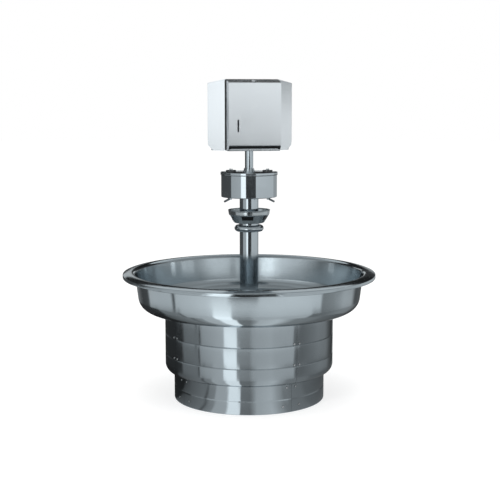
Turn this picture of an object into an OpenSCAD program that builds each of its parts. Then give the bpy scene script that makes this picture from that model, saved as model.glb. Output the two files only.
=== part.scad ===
// Circular wash fountain in stainless steel: a spun bowl on a round
// pedestal, and a central column that carries a spray ring, a sensor cup,
// a soap drum and three paper towel dispensers.
// Millimetres, +Z up, origin on the floor at the centre of the pedestal.

/* [Bowl] */
// Outer radius of the rolled rim
rim_r = 685.8; // [640:1:740]
// Height of the crown of the rim above the floor
rim_z = 693.5; // [640:1:800]
// Width of the crown, from its inner bend to the outer roll
rim_w = 50; // [36:1:80]
// Depth of the bowl wall, from the crown down to the foot of the wall
bowl_depth = 206; // [160:1:260]
// Radius of the bend between wall and floor
foot_r = 75; // [40:1:90]
// Radius of the bend between wall and crown
crown_r = 22; // [12:1:30]
// Radius of the rolled outer edge
roll_r = 10; // [6:1:12]
// Outward lean of the wall, in degrees
wall_lean = 7; // [3:0.5:10]
// Fall of the floor towards the centre
floor_fall = 17; // [8:1:24]
// Radius of the flat part of the floor round the column
flat_r = 260; // [230:1:300]
// Thickness of the bowl sheet
bowl_t = 2; // [1.5:0.1:3]

/* [Pedestal] */
// Outer radius of the upper skirt
skirt_r = 457.2; // [430:1:480]
// Height of the lower edge of the skirt
skirt_z = 152; // [120:1:170]
// Radius of the rounded lower corner of the skirt
corner_r = 42; // [25:1:48]
// Step in from the skirt to the base ring
base_step = 48; // [44:0.2:60]
// Thickness of the panel sheet
panel_t = 1.5; // [1:0.1:2]
// Gap between neighbouring panels at a seam
seam_gap = 1.2; // [0.6:0.1:2]
// Turn of the first seam from the front towards the right, in degrees
seam_turn = 32.5; // [20:0.5:45]
// Heights of the two beads pressed in the skirt
skirt_beads = [252, 362];
// Height of the bead pressed in the base ring
base_bead = 73.5; // [60:0.5:100]
// Depth of a pressed bead
bead_d = 3; // [1.5:0.5:4]
// Radius of a panel screw head
screw_r = 4; // [3:0.5:5]
// Standing height of a panel screw head
screw_h = 2; // [1:0.5:3]

/* [Frame] */
// Thickness of the frame bars and ring legs
frame_t = 5; // [4:0.5:8]
// Height of the standing leg of the floor ring
ring_leg = 46; // [42:1:60]
// Width of the flat flange of the floor ring
flange_w = 60; // [50:1:80]
// Width of an upright
upright_w = 50; // [44:1:70]
// Distance of the floor anchor holes from the outer edge of the floor ring
anchor_in = 37.4; // [25:0.1:45]
// Radius of a floor anchor hole
anchor_r = 5.5; // [4:0.5:7]

/* [Column] */
// Outer radius of the column tube
column_r = 50.8; // [45:0.1:56]
// Wall of the column tube
column_t = 3; // [2:0.5:5]
// Height of the joint between the foot tube and the column
joint_z = 722; // [700:1:760]
// Radius of the flange that clamps the foot tube to the bowl
foot_flange_r = 82; // [70:1:100]
// Thickness of the rubber gasket under that flange
gasket_t = 2; // [1:0.5:4]
// Height of the centre of the spray ring
ring_z = 925; // [880:1:940]
// Radius of the round section of the spray ring
ring_tube_r = 17.5; // [12:0.5:19]
// Outer radius of the spray ring
ring_r = 79; // [74:0.5:90]
// Outer radius of the neck above the spray ring
neck_r = 53.5; // [53:0.5:58]
// Radius of a spray hole in the ring
spray_r = 1.5; // [1:0.1:2.5]
// Downward slope of a spray hole, in degrees
spray_dip = 55; // [30:1:80]

/* [Sensor cup] */
// Height of the flat bottom of the cup
cup_z = 954; // [950:1:965]
// Radius of the flat bottom of the cup
cup_floor_r = 67; // [62:1:72]
// Height of the sloping wall of the cup
cup_cone_h = 45; // [35:1:55]
// Radius at the top of the sloping wall
cup_r = 111.5; // [100:0.5:120]
// Height of the upright rim band of the cup
cup_band_h = 26; // [15:1:30]
// Outward flare of the rim band
cup_flare = 3; // [0:0.5:5]
// Thickness of the cup sheet
cup_t = 2; // [1.5:0.1:3]
// Number of sensor windows round the cup
window_n = 5; // [3:1:6]
// Angle that one window spans, in degrees
window_arc = 40; // [25:1:45]
// Turn of the first window from the front towards the right, in degrees
window_turn = -5; // [-20:1:20]
// Height of the lower edge of a window above the bottom of the cup
window_low = 20; // [9:1:24]
// Distance of the upper edge of a window below the rim band
window_below = 3; // [2:0.5:8]

/* [Soap drum] */
// Outer radius of the drum
drum_r = 150; // [140:1:160]
// Height of the underside of the drum
drum_z = 1094; // [1088:1:1105]
// Height of the drum wall
drum_h = 133; // [110:1:140]
// Thickness of the drum sheet
drum_t = 1.5; // [1:0.1:2]
// Overhang of the lid beyond the drum wall
lid_over = 4.3; // [3:0.1:8]
// Height of the turned-down edge of the lid
lid_edge_h = 14; // [8:1:20]
// Distance of the soap valves and filler caps from the axis
soap_pcr = 112; // [100:1:114]
// Turn of the soap valves from their even places, in degrees
soap_turn = 1; // [-10:1:10]
// Radius of a filler cap
cap_r = 25; // [22:0.5:28]
// Height of a filler cap above the lid
cap_h = 9; // [6:0.5:14]
// Radius of the filler hole in the lid
filler_r = 19; // [15:0.5:20]
// Length of a soap lever, from its pin to its tip
lever_l = 34; // [28:1:40]
// Width of a soap lever
lever_w = 12; // [8:1:16]
// Downward slope of a soap lever at rest, in degrees
lever_drop = 22; // [15:1:30]

/* [Towel dispensers] */
// Outer radius of the post that carries the dispensers
post_r = 22.5; // [20:0.5:25.5]
// Wall of the post
post_t = 2.5; // [2:0.5:4]
// Turn of the first dispenser from the front towards the right, in degrees
disp_turn = 10; // [0:1:20]
// Gap between the back corners of neighbouring dispensers
corner_gap = 5.6; // [4:0.1:16]
// Width of a dispenser
disp_w = 274.6; // [270:0.2:280]
// Depth of a dispenser
disp_d = 100; // [95:1:112]
// Height of a dispenser at its back
disp_h = 372.5; // [350:0.5:380]
// Clear height from the top of the soap drum to the underside of the dispensers
disp_rise = 118.5; // [100:0.5:140]
// Fall of the top from its back to its front
top_fall = 19; // [12:1:25]
// Depth of the slope at the lower front edge
chin_d = 32; // [28:1:38]
// Height of the slope at the lower front edge
chin_h = 28; // [25:1:32]
// Thickness of the dispenser sheet
disp_t = 1.5; // [1:0.1:2]
// Height of the towel tray lip
lip_h = 12.5; // [6:0.5:17]
// Distance of the refill slot from the left edge of the door
slot_x = 49; // [40:1:70]
// Height of the lower end of the refill slot above the dispenser's underside
slot_z = 99.5; // [80:0.5:110]
// Height of the refill slot
slot_h = 64; // [50:1:80]
// Width of the refill slot
slot_w = 9; // [8:0.5:12]
// Radius of the hinge pin of a door
pin_r = 2; // [1.5:0.1:2.2]
// Radius of the turning plug of a door lock
plug_r = 7; // [6:0.5:8]
// Radius of the head of a door lock
lock_head_r = 9.5; // [8.5:0.5:12]

/* [Plumbing] */
// Distance of the drain from the axis
drain_x = 165; // [150:1:180]
// Outer radius of the waste pipe
waste_r = 19; // [16:0.5:21]
// Radius of the drain opening in the bowl
drain_r = 30; // [26:1:34]
// Radius of the drain strainer
strainer_r = 44; // [38:1:50]
// Outer radius of the supply riser
riser_r = 11; // [8:0.5:14]
// Distance of the supply valves from the axis
valve_x = 170; // [150:1:200]
// Half the spacing of the hot and cold stop valves
stop_y = 75; // [65:1:90]
// Height of the stop valves
stop_z = 92; // [85:1:110]
// Outer radius of a supply inlet
inlet_r = 10.5; // [8:0.5:12]

/* [Fits] */
// Gap between pieces that lie against each other
slip = 0.3; // [0.2:0.05:0.5]
// Radial running clearance of a pin or plug
run = 0.05; // [0.02:0.01:0.09]

/* [Hidden] */
$fn = 96;

steel = "#b3b8bb";
bright_steel = "#c9cdcf";
dark_steel = "#8a9094";
rubber = "#26282a";

// Bowl, from its driving sizes
crown_z = rim_z - crown_r;
roll_slope = 8;
crown_c = [rim_r - rim_w, crown_z];
roll_x = rim_r - roll_r;
roll_fall = (roll_x - crown_c[0]) * sin(roll_slope);
roll_c = [roll_x, crown_z + (crown_r - roll_r - roll_fall) / cos(roll_slope)];
hem_r = 4;
hem_drop = 10;
hem_l = 10;
hem_c = [rim_r - hem_r, roll_c[1] - hem_drop];
foot_z = rim_z - bowl_depth;
foot_c = [
  crown_c[0] - (crown_r + foot_r + (crown_z - foot_z - foot_r) * sin(wall_lean)) / cos(wall_lean),
  foot_z + foot_r,
];
floor_z = foot_z - floor_fall;
function under_z(r) =
  r < flat_r ? floor_z - bowl_t
  : foot_z - bowl_t - floor_fall * (foot_c[0] - r) / (foot_c[0] - flat_r);

// Frame and pedestal
base_r = skirt_r - base_step;
leg_r = base_r - panel_t - slip;
skirt_leg_r = skirt_r - panel_t - bead_d - slip;
skirt_top = under_z(skirt_r) - slip;
base_top = skirt_z - slip;
middle_leg = 40;
bowl_ring_leg = 45;
bowl_ring_r = skirt_leg_r;
bowl_ring_top = under_z(bowl_ring_r - flange_w) - slip;
arm_h = 30;
arm_top = floor_z - bowl_t - slip;
hub_r = 75;
middle_flange = 50;
bar_d = 16;
step_above = 14;
step_h = 50;
step_low = base_top + step_above;
step_high = step_low + step_h;
shank_r = screw_r / 2;
screw_above = 9;
skirt_screw_z = [skirt_beads[0] + screw_above, skirt_beads[1] + screw_above];
screw_side = 16;
base_screw_z = [34, 134];
base_screw_side = [50, 27];

// Column
column_in = column_r - column_t;
hole_r = column_r + slip;
ring_pitch_r = ring_r - ring_tube_r;
spray_depth = 5;
spray_apart = 15;
foot_top = floor_z + gasket_t + 2 * slip;
foot_flange_t = 4;
cone_top = cup_z + cup_cone_h;
cup_top = cone_top + cup_band_h;
window_h = cup_cone_h - window_low - window_below;
tube_joint = cup_z - 10;
spigot_l = 40;
spigot_step = 10;
joint_screw_r = 2.5;
joint_screw_turn = 12;
joint_screw_low = 5;
end_t = 6;

// Soap drum
drum_top = drum_z + drum_h;
lid_r = drum_r + lid_over;
lid_z = drum_top + slip;
lid_top = lid_z + drum_t;
stem_r = 8;
valve_flange_r = 15;
valve_flange_t = 3;
outlet_r = 4.5;
outlet_drop = 8;
lever_t = 5;
lever_pin_r = 1.5;
knuckle_r = 3.5;
ear_t = 3;
lug_h = 4;
lug_r = 4;
lug_side = 9;
pivot_out = 10;
pivot_drop = 7.5;
lever_pin_l = lever_w + 2 * slip + 2 * ear_t;
pivot_x = soap_pcr + pivot_out;
pivot_z = drum_z - pivot_drop;

// Towel dispensers
disp_z = drum_top + disp_rise;
disp_back = (disp_w / 2 + corner_gap) / tan(60);
disp_front = disp_back + disp_d;
disp_top = disp_z + disp_h;
front_top = disp_top - top_fall;
tilt = atan(top_fall / disp_d);
hinge_in = 6;
hinge_knuckle_r = 5.2;
notch_h = 7;
hinge_x = disp_front - hinge_in;
hinge_z = disp_z + chin_h + 4;
shell_gap = disp_t + slip;
side_in = disp_w / 2 - disp_t - slip;
return_d = 12;
lock_x = disp_back + disp_d / 2;
lock_z = front_top + (disp_front - lock_x) * tan(tilt);
plug_l = 18;
cam_l = 24;
cam_w = 10;
cam_t = 2.5;
rail_depth = 13;
rail_back = 19;
rail_w = 10;
post_z = drum_z + drum_t + slip;
post_top = disp_top - 14;
bracket_t = 4;
bracket_w = 120;
bracket_low = disp_z + 30;
bracket_top = disp_top - 30;
sleeve_r = post_r + slip + bracket_t;

// Plumbing
tail_top = floor_z - bowl_t - slip;
drain_throat = 20;
pipe_top = tail_top - drain_throat - 2;
pipe_t = 1.5;
bend_r = 35;
trap_z = 230;
trap_rise = 80;
outlet_z = 25;
outlet_bore = 70;
inlet_z = 20;
inlet_bore = 30;
inlet_t = 3;
link_r = inlet_r - inlet_t;
valve_body_r = 16;
valve_body_h = 28;
bonnet_r = 10;
valve_stem_r = 4;
stem_base = 22;
stem_end = 32;
handle_l = 52;
mixer_z = stop_z + 120;
mixer_r = 22;
mixer_boss = 8;
solenoid_h = 44;
solenoid_z = mixer_z + mixer_r + mixer_boss + slip;
riser_z = solenoid_z + solenoid_h + slip;
riser_h = 40;
riser_bend = 34;
manifold_h = 26;

// Points on an arc about c, from angle a to angle b, in n steps
function arc(c, r, a, b, n = 8) =
  [for (i = [0:n]) c + r * [cos(a + (b - a) * i / n), sin(a + (b - a) * i / n)]];

function flip(list) = [for (i = [len(list) - 1:-1:0]) list[i]];

// Distance from the axis at which the corners of a flat side w wide lie at radius r
function flat_at(r, w) = sqrt(r * r - w * w / 4);

// Face of a sheet with a pressed bead at height z, w high and d deep
function bead(r, z, w, d) = [[r, z - w / 2], [r - d, z], [r, z + w / 2]];

module at_seam(i) rotate([0, 0, seam_turn - 90 + 90 * i]) children();
module at_drain() rotate([0, 0, seam_turn]) translate([drain_x, 0, 0]) children();
module at_soap(i) rotate([0, 0, soap_turn - 30 + 120 * i]) children();
module at_dispenser(i) rotate([0, 0, disp_turn - 90 + 120 * i]) children();

// Quarter of a turned profile between two seams
module quarter(i, r) {
  gap = asin(seam_gap / 2 / r);
  at_seam(i) rotate([0, 0, gap]) rotate_extrude(angle = 90 - 2 * gap) children();
}

// Round pin or hole along Y, half of it on each side
module cross_pin(r, l) {
  translate([0, l / 2, 0]) rotate([90, 0, 0]) cylinder(r = r, h = l, $fn = 32);
}

module upright_tube(r_out, r_in, low, high) {
  translate([0, 0, low]) difference() {
    cylinder(r = r_out, h = high - low);
    translate([0, 0, -1]) cylinder(r = r_in, h = high - low + 2);
  }
}

// Pan head screw, z up the panel and side along it, at a seam of a round panel
module at_screw(r, z, side) {
  rotate([0, 0, asin(side / r)]) translate([r, 0, z]) rotate([0, 90, 0]) children();
}

module panel_screw(r, z, side) {
  at_screw(r, z, side) {
    translate([0, 0, slip]) cylinder(r1 = screw_r, r2 = screw_r * 0.7, h = screw_h, $fn = 32);
    translate([0, 0, -panel_t]) cylinder(r = shank_r, h = panel_t + 1, $fn = 32);
  }
}

// Four screw holes of panel i: two heights, at the seam on each side of it
module panel_holes(i, r, heights, sides) {
  for (k = [0:1]) {
    at_seam(i) at_screw(r, heights[k], sides[k])
      translate([0, 0, -10]) cylinder(r = shank_r + slip, h = 20, $fn = 32);
    at_seam(i + 1) at_screw(r, heights[k], -sides[k])
      translate([0, 0, -10]) cylinder(r = shank_r + slip, h = 20, $fn = 32);
  }
}

module base_panel(i) {
  bead_w = 14;
  r = base_r;
  q = base_r - panel_t;
  color(steel) difference() {
    quarter(i, base_r) polygon(concat(
      [[q, 0], [r, 0]], bead(r, base_bead, bead_w, bead_d), [[r, base_top], [q, base_top]],
      flip(bead(q, base_bead, bead_w, bead_d))));
    panel_holes(i, base_r, base_screw_z, base_screw_side);
  }
}

module skirt_panel(i) {
  bead_w = 8;
  r = skirt_r;
  q = skirt_r - panel_t;
  c = [skirt_r - corner_r, skirt_z + corner_r];
  color(steel) difference() {
    quarter(i, skirt_r) polygon(concat(
      [[leg_r - frame_t, skirt_z]], arc(c, corner_r, -90, 0),
      bead(r, skirt_beads[0], bead_w, bead_d), bead(r, skirt_beads[1], bead_w, bead_d),
      [[r, skirt_top], [q, skirt_top]],
      flip(bead(q, skirt_beads[1], bead_w, bead_d)), flip(bead(q, skirt_beads[0], bead_w, bead_d)),
      arc(c, corner_r - panel_t, 0, -90), [[leg_r - frame_t, skirt_z + panel_t]]));
    panel_holes(i, skirt_r, skirt_screw_z, [screw_side, screw_side]);
  }
}

module base_screws() {
  color(bright_steel) for (i = [0:3], k = [0:1], s = [-1, 1])
    at_seam(i) panel_screw(base_r, base_screw_z[k], s * base_screw_side[k]);
}

module skirt_screws() {
  color(bright_steel) for (i = [0:3], k = [0:1], s = [-1, 1])
    at_seam(i) panel_screw(skirt_r, skirt_screw_z[k], s * screw_side);
}

// Flat ring with a standing leg at its outer edge
module angle_ring(r, leg, flange) {
  rotate_extrude() polygon([
    [r - flange, 0], [r, 0], [r, leg], [r - frame_t, leg], [r - frame_t, frame_t], [r - flange, frame_t]]);
}

module floor_ring() {
  color(dark_steel) difference() {
    angle_ring(leg_r, ring_leg, flange_w);
    for (i = [0:3]) at_seam(i) rotate([0, 0, 45])
      translate([leg_r - anchor_in, 0, -1]) cylinder(r = anchor_r, h = frame_t + 2, $fn = 32);
  }
}

// Ring behind the joint of base and skirt, notched where the uprights pass
module middle_ring() {
  color(dark_steel) difference() {
    translate([0, 0, base_top]) mirror([0, 0, 1]) angle_ring(leg_r, middle_leg, middle_flange);
    for (i = [0:3]) at_seam(i)
      translate([leg_r - frame_t - middle_flange, -upright_w / 2 - slip, base_top - frame_t - 1])
        cube([middle_flange, upright_w + 2 * slip, frame_t + 2]);
  }
}

// Four bars that stand on the floor ring behind the seams and carry the bowl ring
module frame_uprights() {
  low = flat_at(leg_r - frame_t - slip, upright_w);
  high = flat_at(bowl_ring_r - frame_t - slip, upright_w);
  top = bowl_ring_top - frame_t - slip;
  color(dark_steel) for (i = [0:3]) at_seam(i)
    translate([0, upright_w / 2, 0]) rotate([90, 0, 0]) linear_extrude(upright_w) polygon([
      [low - bar_d, frame_t + slip], [low, frame_t + slip], [low, step_low], [high, step_high],
      [high, top], [high - bar_d, top], [high - bar_d, step_high + 8], [low - bar_d, step_low + 8]]);
}

// Welded ring and cross arms under the bowl, with the hub that carries the column
module bowl_ring() {
  arm_in = hub_r - frame_t;
  arm_l = bowl_ring_r - frame_t / 2 - arm_in;
  color(dark_steel) difference() {
    union() {
      translate([0, 0, bowl_ring_top]) mirror([0, 0, 1]) angle_ring(bowl_ring_r, bowl_ring_leg, flange_w);
      for (i = [0:3]) at_seam(i) rotate([0, 0, 45])
        translate([arm_in, -frame_t, arm_top - arm_h]) cube([arm_l, 2 * frame_t, arm_h]);
      translate([0, 0, arm_top - arm_h]) cylinder(r = hub_r, h = arm_h);
    }
    translate([0, 0, arm_top - arm_h - 1]) cylinder(r = hole_r, h = arm_h + 2);
  }
}

module bowl() {
  u_end = 90 - roll_slope;
  color(steel) difference() {
    rotate_extrude($fn = 180) polygon(concat(
      [[hole_r, floor_z - bowl_t], [flat_r, floor_z - bowl_t]],
      arc(foot_c, foot_r + bowl_t, -90, -wall_lean, 12),
      arc(crown_c, crown_r - bowl_t, 180 - wall_lean, u_end, 10),
      arc(roll_c, roll_r - bowl_t, u_end, 0, 8),
      arc(hem_c, hem_r - bowl_t, 0, -90, 4), [[hem_c[0] - hem_l, hem_c[1] - hem_r + bowl_t]],
      [[hem_c[0] - hem_l, hem_c[1] - hem_r]], arc(hem_c, hem_r, -90, 0, 4),
      arc(roll_c, roll_r, 0, u_end, 8),
      arc(crown_c, crown_r, u_end, 180 - wall_lean, 10),
      arc(foot_c, foot_r, -wall_lean, -90, 12),
      [[flat_r, floor_z], [hole_r, floor_z]]));
    at_drain() translate([0, 0, floor_z - 10]) cylinder(r = drain_r, h = 20);
  }
}

module drain_strainer() {
  plate_t = 1.5;
  plug_h = 3;
  hole = 4;
  hole_pcr = drain_r * 0.62;
  color(bright_steel) at_drain() translate([0, 0, floor_z + slip]) difference() {
    union() {
      cylinder(r = strainer_r, h = plate_t);
      translate([0, 0, -plug_h]) cylinder(r = drain_r - slip, h = plug_h + 1);
    }
    for (i = [0:7]) rotate([0, 0, 45 * i])
      translate([hole_pcr, 0, -plug_h - 1]) cylinder(r = hole, h = plug_h + plate_t + 2, $fn = 24);
    translate([0, 0, -plug_h - 1]) cylinder(r = hole, h = plug_h + plate_t + 2, $fn = 24);
  }
}

module drain_body() {
  socket = waste_r + slip;
  wall = 3;
  flange = 4;
  well = 12;
  depth = drain_throat + 14;
  color(dark_steel) at_drain() translate([0, 0, tail_top]) rotate_extrude() polygon([
    [socket, -depth], [socket + wall, -depth], [socket + wall, -drain_throat - wall],
    [drain_r + wall, -well], [drain_r + wall, -flange], [strainer_r, -flange], [strainer_r, 0],
    [drain_r, 0], [drain_r, -well], [socket, -drain_throat]]);
}

// Waste pipe, from the drain down, round the trap bend, over, and down to the floor
module waste_trap() {
  color(bright_steel) at_drain() difference() {
    union() {
      translate([0, 0, trap_z]) cylinder(r = waste_r, h = pipe_top - trap_z);
      translate([bend_r, 0, trap_z]) rotate([-90, 0, 0]) rotate_extrude(angle = 180)
        translate([bend_r, 0]) circle(r = waste_r);
      translate([2 * bend_r, 0, trap_z]) cylinder(r = waste_r, h = trap_rise);
      translate([3 * bend_r, 0, trap_z + trap_rise]) rotate([90, 0, 0]) rotate_extrude(angle = 180)
        translate([bend_r, 0]) circle(r = waste_r);
      translate([4 * bend_r, 0, outlet_z]) cylinder(r = waste_r, h = trap_z + trap_rise - outlet_z);
    }
    translate([4 * bend_r, 0, outlet_z - 1]) cylinder(r = waste_r - pipe_t, h = outlet_bore + 1);
  }
}

// Hot and cold quarter-turn stop valves, standing on their inlet pipes
module stop_valves() {
  color(bright_steel) for (s = [-1, 1]) translate([-valve_x, s * stop_y, 0]) {
    difference() {
      translate([0, 0, inlet_z]) cylinder(r = inlet_r, h = stop_z - inlet_z);
      translate([0, 0, inlet_z - 1]) cylinder(r = link_r, h = inlet_bore + 1);
    }
    translate([0, 0, stop_z - valve_body_h / 2]) cylinder(r = valve_body_r, h = valve_body_h);
    translate([0, 0, stop_z]) cylinder(r = link_r, h = mixer_z - stop_z);
    translate([0, 0, stop_z]) rotate([0, -90, 0]) cylinder(r = bonnet_r, h = stem_base);
    translate([0, 0, stop_z]) rotate([0, -90, 0]) cylinder(r = valve_stem_r, h = stem_end);
  }
}

// Lever handle on the stem of a stop valve, up when the valve is open
module stop_handle(s, tint) {
  boss_r = 9;
  boss_h = 8;
  grip_r = 6;
  grip_t = 4;
  grip_l = handle_l - grip_r;
  color(tint) translate([-valve_x, s * stop_y, stop_z]) rotate([0, -90, 0])
    translate([0, 0, stem_base + slip]) difference() {
      union() {
        cylinder(r = boss_r, h = boss_h);
        translate([0, -grip_r, grip_t / 2]) cube([grip_l, 2 * grip_r, grip_t]);
        translate([grip_l, 0, grip_t / 2]) cylinder(r = grip_r, h = grip_t, $fn = 48);
      }
      translate([0, 0, -1]) cylinder(r = valve_stem_r + run, h = boss_h + 2);
    }
}

module mixing_valve() {
  end = stop_y + valve_body_r;
  nut_h = 12;
  nut_r = mixer_r - 8;
  color(bright_steel) translate([-valve_x, 0, mixer_z]) difference() {
    union() {
      translate([0, end, 0]) rotate([90, 0, 0]) cylinder(r = mixer_r, h = 2 * end);
      translate([0, end + nut_h, 0]) rotate([90, 0, 0]) cylinder(r = nut_r, h = nut_h + 1);
      cylinder(r = riser_r + 4, h = mixer_r + mixer_boss);
    }
    for (s = [-1, 1]) translate([0, s * stop_y, -mixer_r - 1])
      cylinder(r = link_r + slip, h = mixer_r + 2);
  }
}

module solenoid_valve() {
  coil = [50, 36, solenoid_h - 8];
  color(rubber) translate([-valve_x, 0, solenoid_z]) {
    cylinder(r = riser_r + 7, h = solenoid_h);
    translate([-coil[0] - 4, -coil[1] / 2, (solenoid_h - coil[2]) / 2]) cube(coil);
  }
}

// Pipe from the solenoid valve to the manifold inside the spray ring
module supply_riser() {
  bend_z = riser_z + riser_h;
  over = bend_z + riser_bend;
  up = over + riser_bend;
  color("#b87333") {
    translate([-valve_x, 0, riser_z]) cylinder(r = riser_r, h = riser_h);
    translate([-valve_x + riser_bend, 0, bend_z]) rotate([90, 0, 0]) rotate([0, 0, 90])
      rotate_extrude(angle = 90) translate([riser_bend, 0]) circle(r = riser_r);
    translate([-valve_x + riser_bend, 0, over]) rotate([0, 90, 0])
      cylinder(r = riser_r, h = valve_x - 2 * riser_bend);
    translate([-riser_bend, 0, up]) rotate([90, 0, 0]) rotate([0, 0, -90])
      rotate_extrude(angle = 90) translate([riser_bend, 0]) circle(r = riser_r);
    translate([0, 0, up]) cylinder(r = riser_r, h = ring_z - up);
    translate([0, 0, ring_z - manifold_h / 2]) cylinder(r = column_in - slip, h = manifold_h);
  }
}

// Box of the sensors' electronics, standing on the middle ring
module control_box() {
  box = [140, 44, 110];
  out_y = flat_at(leg_r - frame_t - 2, box[0]);
  color("#6f7477") translate([-box[0] / 2, out_y - box[1], base_top + slip]) cube(box);
}

module foot_gasket() {
  color(rubber) upright_tube(foot_flange_r, hole_r, floor_z + slip, floor_z + slip + gasket_t);
}

module foot_tube() {
  color(steel) difference() {
    union() {
      translate([0, 0, arm_top - arm_h]) cylinder(r = column_r, h = joint_z - arm_top + arm_h);
      translate([0, 0, foot_top]) cylinder(r = foot_flange_r, h = foot_flange_t);
    }
    translate([0, 0, arm_top - arm_h - 1]) cylinder(r = column_in, h = joint_z - arm_top + arm_h + 2);
    at_joint_screw() translate([0, 0, -10]) cylinder(r = joint_screw_r + run, h = 20, $fn = 32);
  }
}

module at_joint_screw() {
  rotate([0, 0, joint_screw_turn - 90]) translate([column_r, 0, joint_z - joint_screw_low])
    rotate([0, 90, 0]) children();
}

// Main column tube, with the spigot that enters the foot tube
module column_tube() {
  spigot = column_in - slip;
  step_z = joint_z + spigot_step;
  color(steel) rotate_extrude() polygon([
    [spigot - column_t, joint_z - spigot_l], [spigot, joint_z - spigot_l], [spigot, joint_z + slip],
    [column_r, joint_z + slip], [column_r, tube_joint], [column_in, tube_joint],
    [column_in, step_z], [spigot - column_t, step_z]]);
}

module joint_screw() {
  proud = 0.6;
  color(rubber) at_joint_screw()
    translate([0, 0, -column_t]) cylinder(r = joint_screw_r, h = column_t + proud, $fn = 32);
}

// Ring with its neck, and three spray holes in it below each window of the cup
module spray_ring() {
  low = ring_z - ring_tube_r - 1;
  color(bright_steel) difference() {
    union() {
      translate([0, 0, ring_z]) rotate_extrude() translate([ring_pitch_r, 0]) circle(r = ring_tube_r);
      translate([0, 0, ring_z]) cylinder(r = neck_r, h = cup_z - slip - ring_z);
    }
    translate([0, 0, low]) cylinder(r = hole_r, h = cup_z - low);
    for (i = [0:window_n - 1], k = [-1:1])
      rotate([0, 0, window_turn - 90 + 360 / window_n * i + spray_apart * k])
        translate([ring_pitch_r, 0, ring_z]) rotate([0, 90 + spray_dip, 0])
          translate([0, 0, ring_tube_r - spray_depth]) cylinder(r = spray_r, h = spray_depth + 1, $fn = 24);
  }
}

// Outer radius of the sloping wall of the cup at height h above its bottom
function cone_r(h) = cup_floor_r + (cup_r - cup_floor_r) * h / cup_cone_h;

module sensor_cup() {
  slant = cup_t * 0.45;
  reach = 12;
  color(bright_steel) difference() {
    rotate_extrude() polygon([
      [hole_r, cup_z], [cup_floor_r, cup_z], [cup_r, cone_top], [cup_r + cup_flare, cup_top],
      [cup_r + cup_flare - cup_t, cup_top], [cup_r - cup_t, cone_top + slant],
      [cup_floor_r - slant, cup_z + cup_t], [hole_r, cup_z + cup_t]]);
    for (i = [0:window_n - 1]) at_window(i) rotate_extrude(angle = window_arc)
      translate([cone_r(window_low) - reach, cup_z + window_low])
        square([cone_r(window_h) - cup_floor_r + 2 * reach, window_h]);
  }
}

module at_window(i) {
  rotate([0, 0, window_turn - 90 - window_arc / 2 + 360 / window_n * i]) children();
}

module sensor_windows() {
  low = window_low + slip;
  high = window_low + window_h - slip;
  front = 0.5;
  back = 4;
  side = asin(slip / cone_r(window_low));
  color("#15181a") for (i = [0:window_n - 1]) at_window(i)
    rotate([0, 0, side]) rotate_extrude(angle = window_arc - 2 * side) polygon([
      [cone_r(low) - front, cup_z + low], [cone_r(high) - front, cup_z + high],
      [cone_r(high) - back, cup_z + high], [cone_r(low) - back, cup_z + low]]);
}

module upper_tube() {
  top = drum_z - slip;
  color(bright_steel) rotate_extrude() polygon([
    [0, top - end_t], [column_in, top - end_t], [column_in, tube_joint + slip],
    [column_r, tube_joint + slip], [column_r, top], [0, top]]);
}

module soap_drum() {
  corner = 5;
  c = [drum_r - corner, drum_z + corner];
  color(bright_steel) difference() {
    rotate_extrude() polygon(concat(
      [[0, drum_z]], arc(c, corner, -90, 0, 4), [[drum_r, drum_top], [drum_r - drum_t, drum_top]],
      arc(c, corner - drum_t, 0, -90, 4), [[0, drum_z + drum_t]]));
    for (i = [0:2]) at_soap(i)
      translate([soap_pcr, 0, drum_z - 1]) cylinder(r = stem_r + slip, h = drum_t + 2, $fn = 48);
  }
}

module drum_lid() {
  edge = 3;
  c = [lid_r - edge, lid_top - edge];
  color(bright_steel) difference() {
    rotate_extrude() polygon(concat(
      [[post_r + slip, lid_z], [lid_r - drum_t, lid_z], [lid_r - drum_t, lid_top - lid_edge_h],
       [lid_r, lid_top - lid_edge_h]], arc(c, edge, 0, 90, 4), [[post_r + slip, lid_top]]));
    for (i = [0:2]) at_soap(i)
      translate([soap_pcr, 0, lid_z - 1]) cylinder(r = filler_r + run, h = drum_t + 2, $fn = 64);
  }
}

// Quarter-turn filler cap: plug, flat head and two lugs to turn it by
module filler_cap(i) {
  plug_h = drum_t + 8;
  color(bright_steel) at_soap(i) translate([soap_pcr, 0, lid_top + slip]) {
    translate([0, 0, -plug_h]) cylinder(r = filler_r, h = plug_h + 1);
    cylinder(r = cap_r, h = cap_h - lug_h);
    for (s = [-1, 1]) translate([0, s * lug_side, 0]) cylinder(r = lug_r, h = cap_h, $fn = 48);
  }
}

// Soap valve: lock nut in the drum, stem, flange, outlet, and two ears for the lever
module soap_valve(i) {
  nut_z = drum_z + drum_t + slip;
  nut_h = 6;
  nut_r = stem_r + 5;
  outlet_z = drum_z - outlet_drop;
  flange_z = drum_z - slip;
  ear_y = (lever_w + 2 * slip + ear_t) / 2;
  color(steel) at_soap(i) difference() {
    union() {
      translate([soap_pcr, 0, 0]) rotate_extrude() polygon([
        [0, outlet_z], [outlet_r, outlet_z], [outlet_r, flange_z - valve_flange_t],
        [valve_flange_r, flange_z - valve_flange_t], [valve_flange_r, flange_z], [stem_r, flange_z],
        [stem_r, nut_z], [nut_r, nut_z], [nut_r, nut_z + nut_h], [0, nut_z + nut_h]]);
      for (s = [-1, 1]) translate([0, s * ear_y, 0]) {
        translate([soap_pcr, -ear_t / 2, pivot_z - knuckle_r])
          cube([pivot_out, ear_t, flange_z - valve_flange_t / 2 - pivot_z + knuckle_r]);
        translate([pivot_x, ear_t / 2, pivot_z]) rotate([90, 0, 0]) cylinder(r = knuckle_r, h = ear_t);
      }
    }
    translate([pivot_x, 0, pivot_z]) cross_pin(lever_pin_r + run, lever_pin_l + 2);
  }
}

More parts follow.
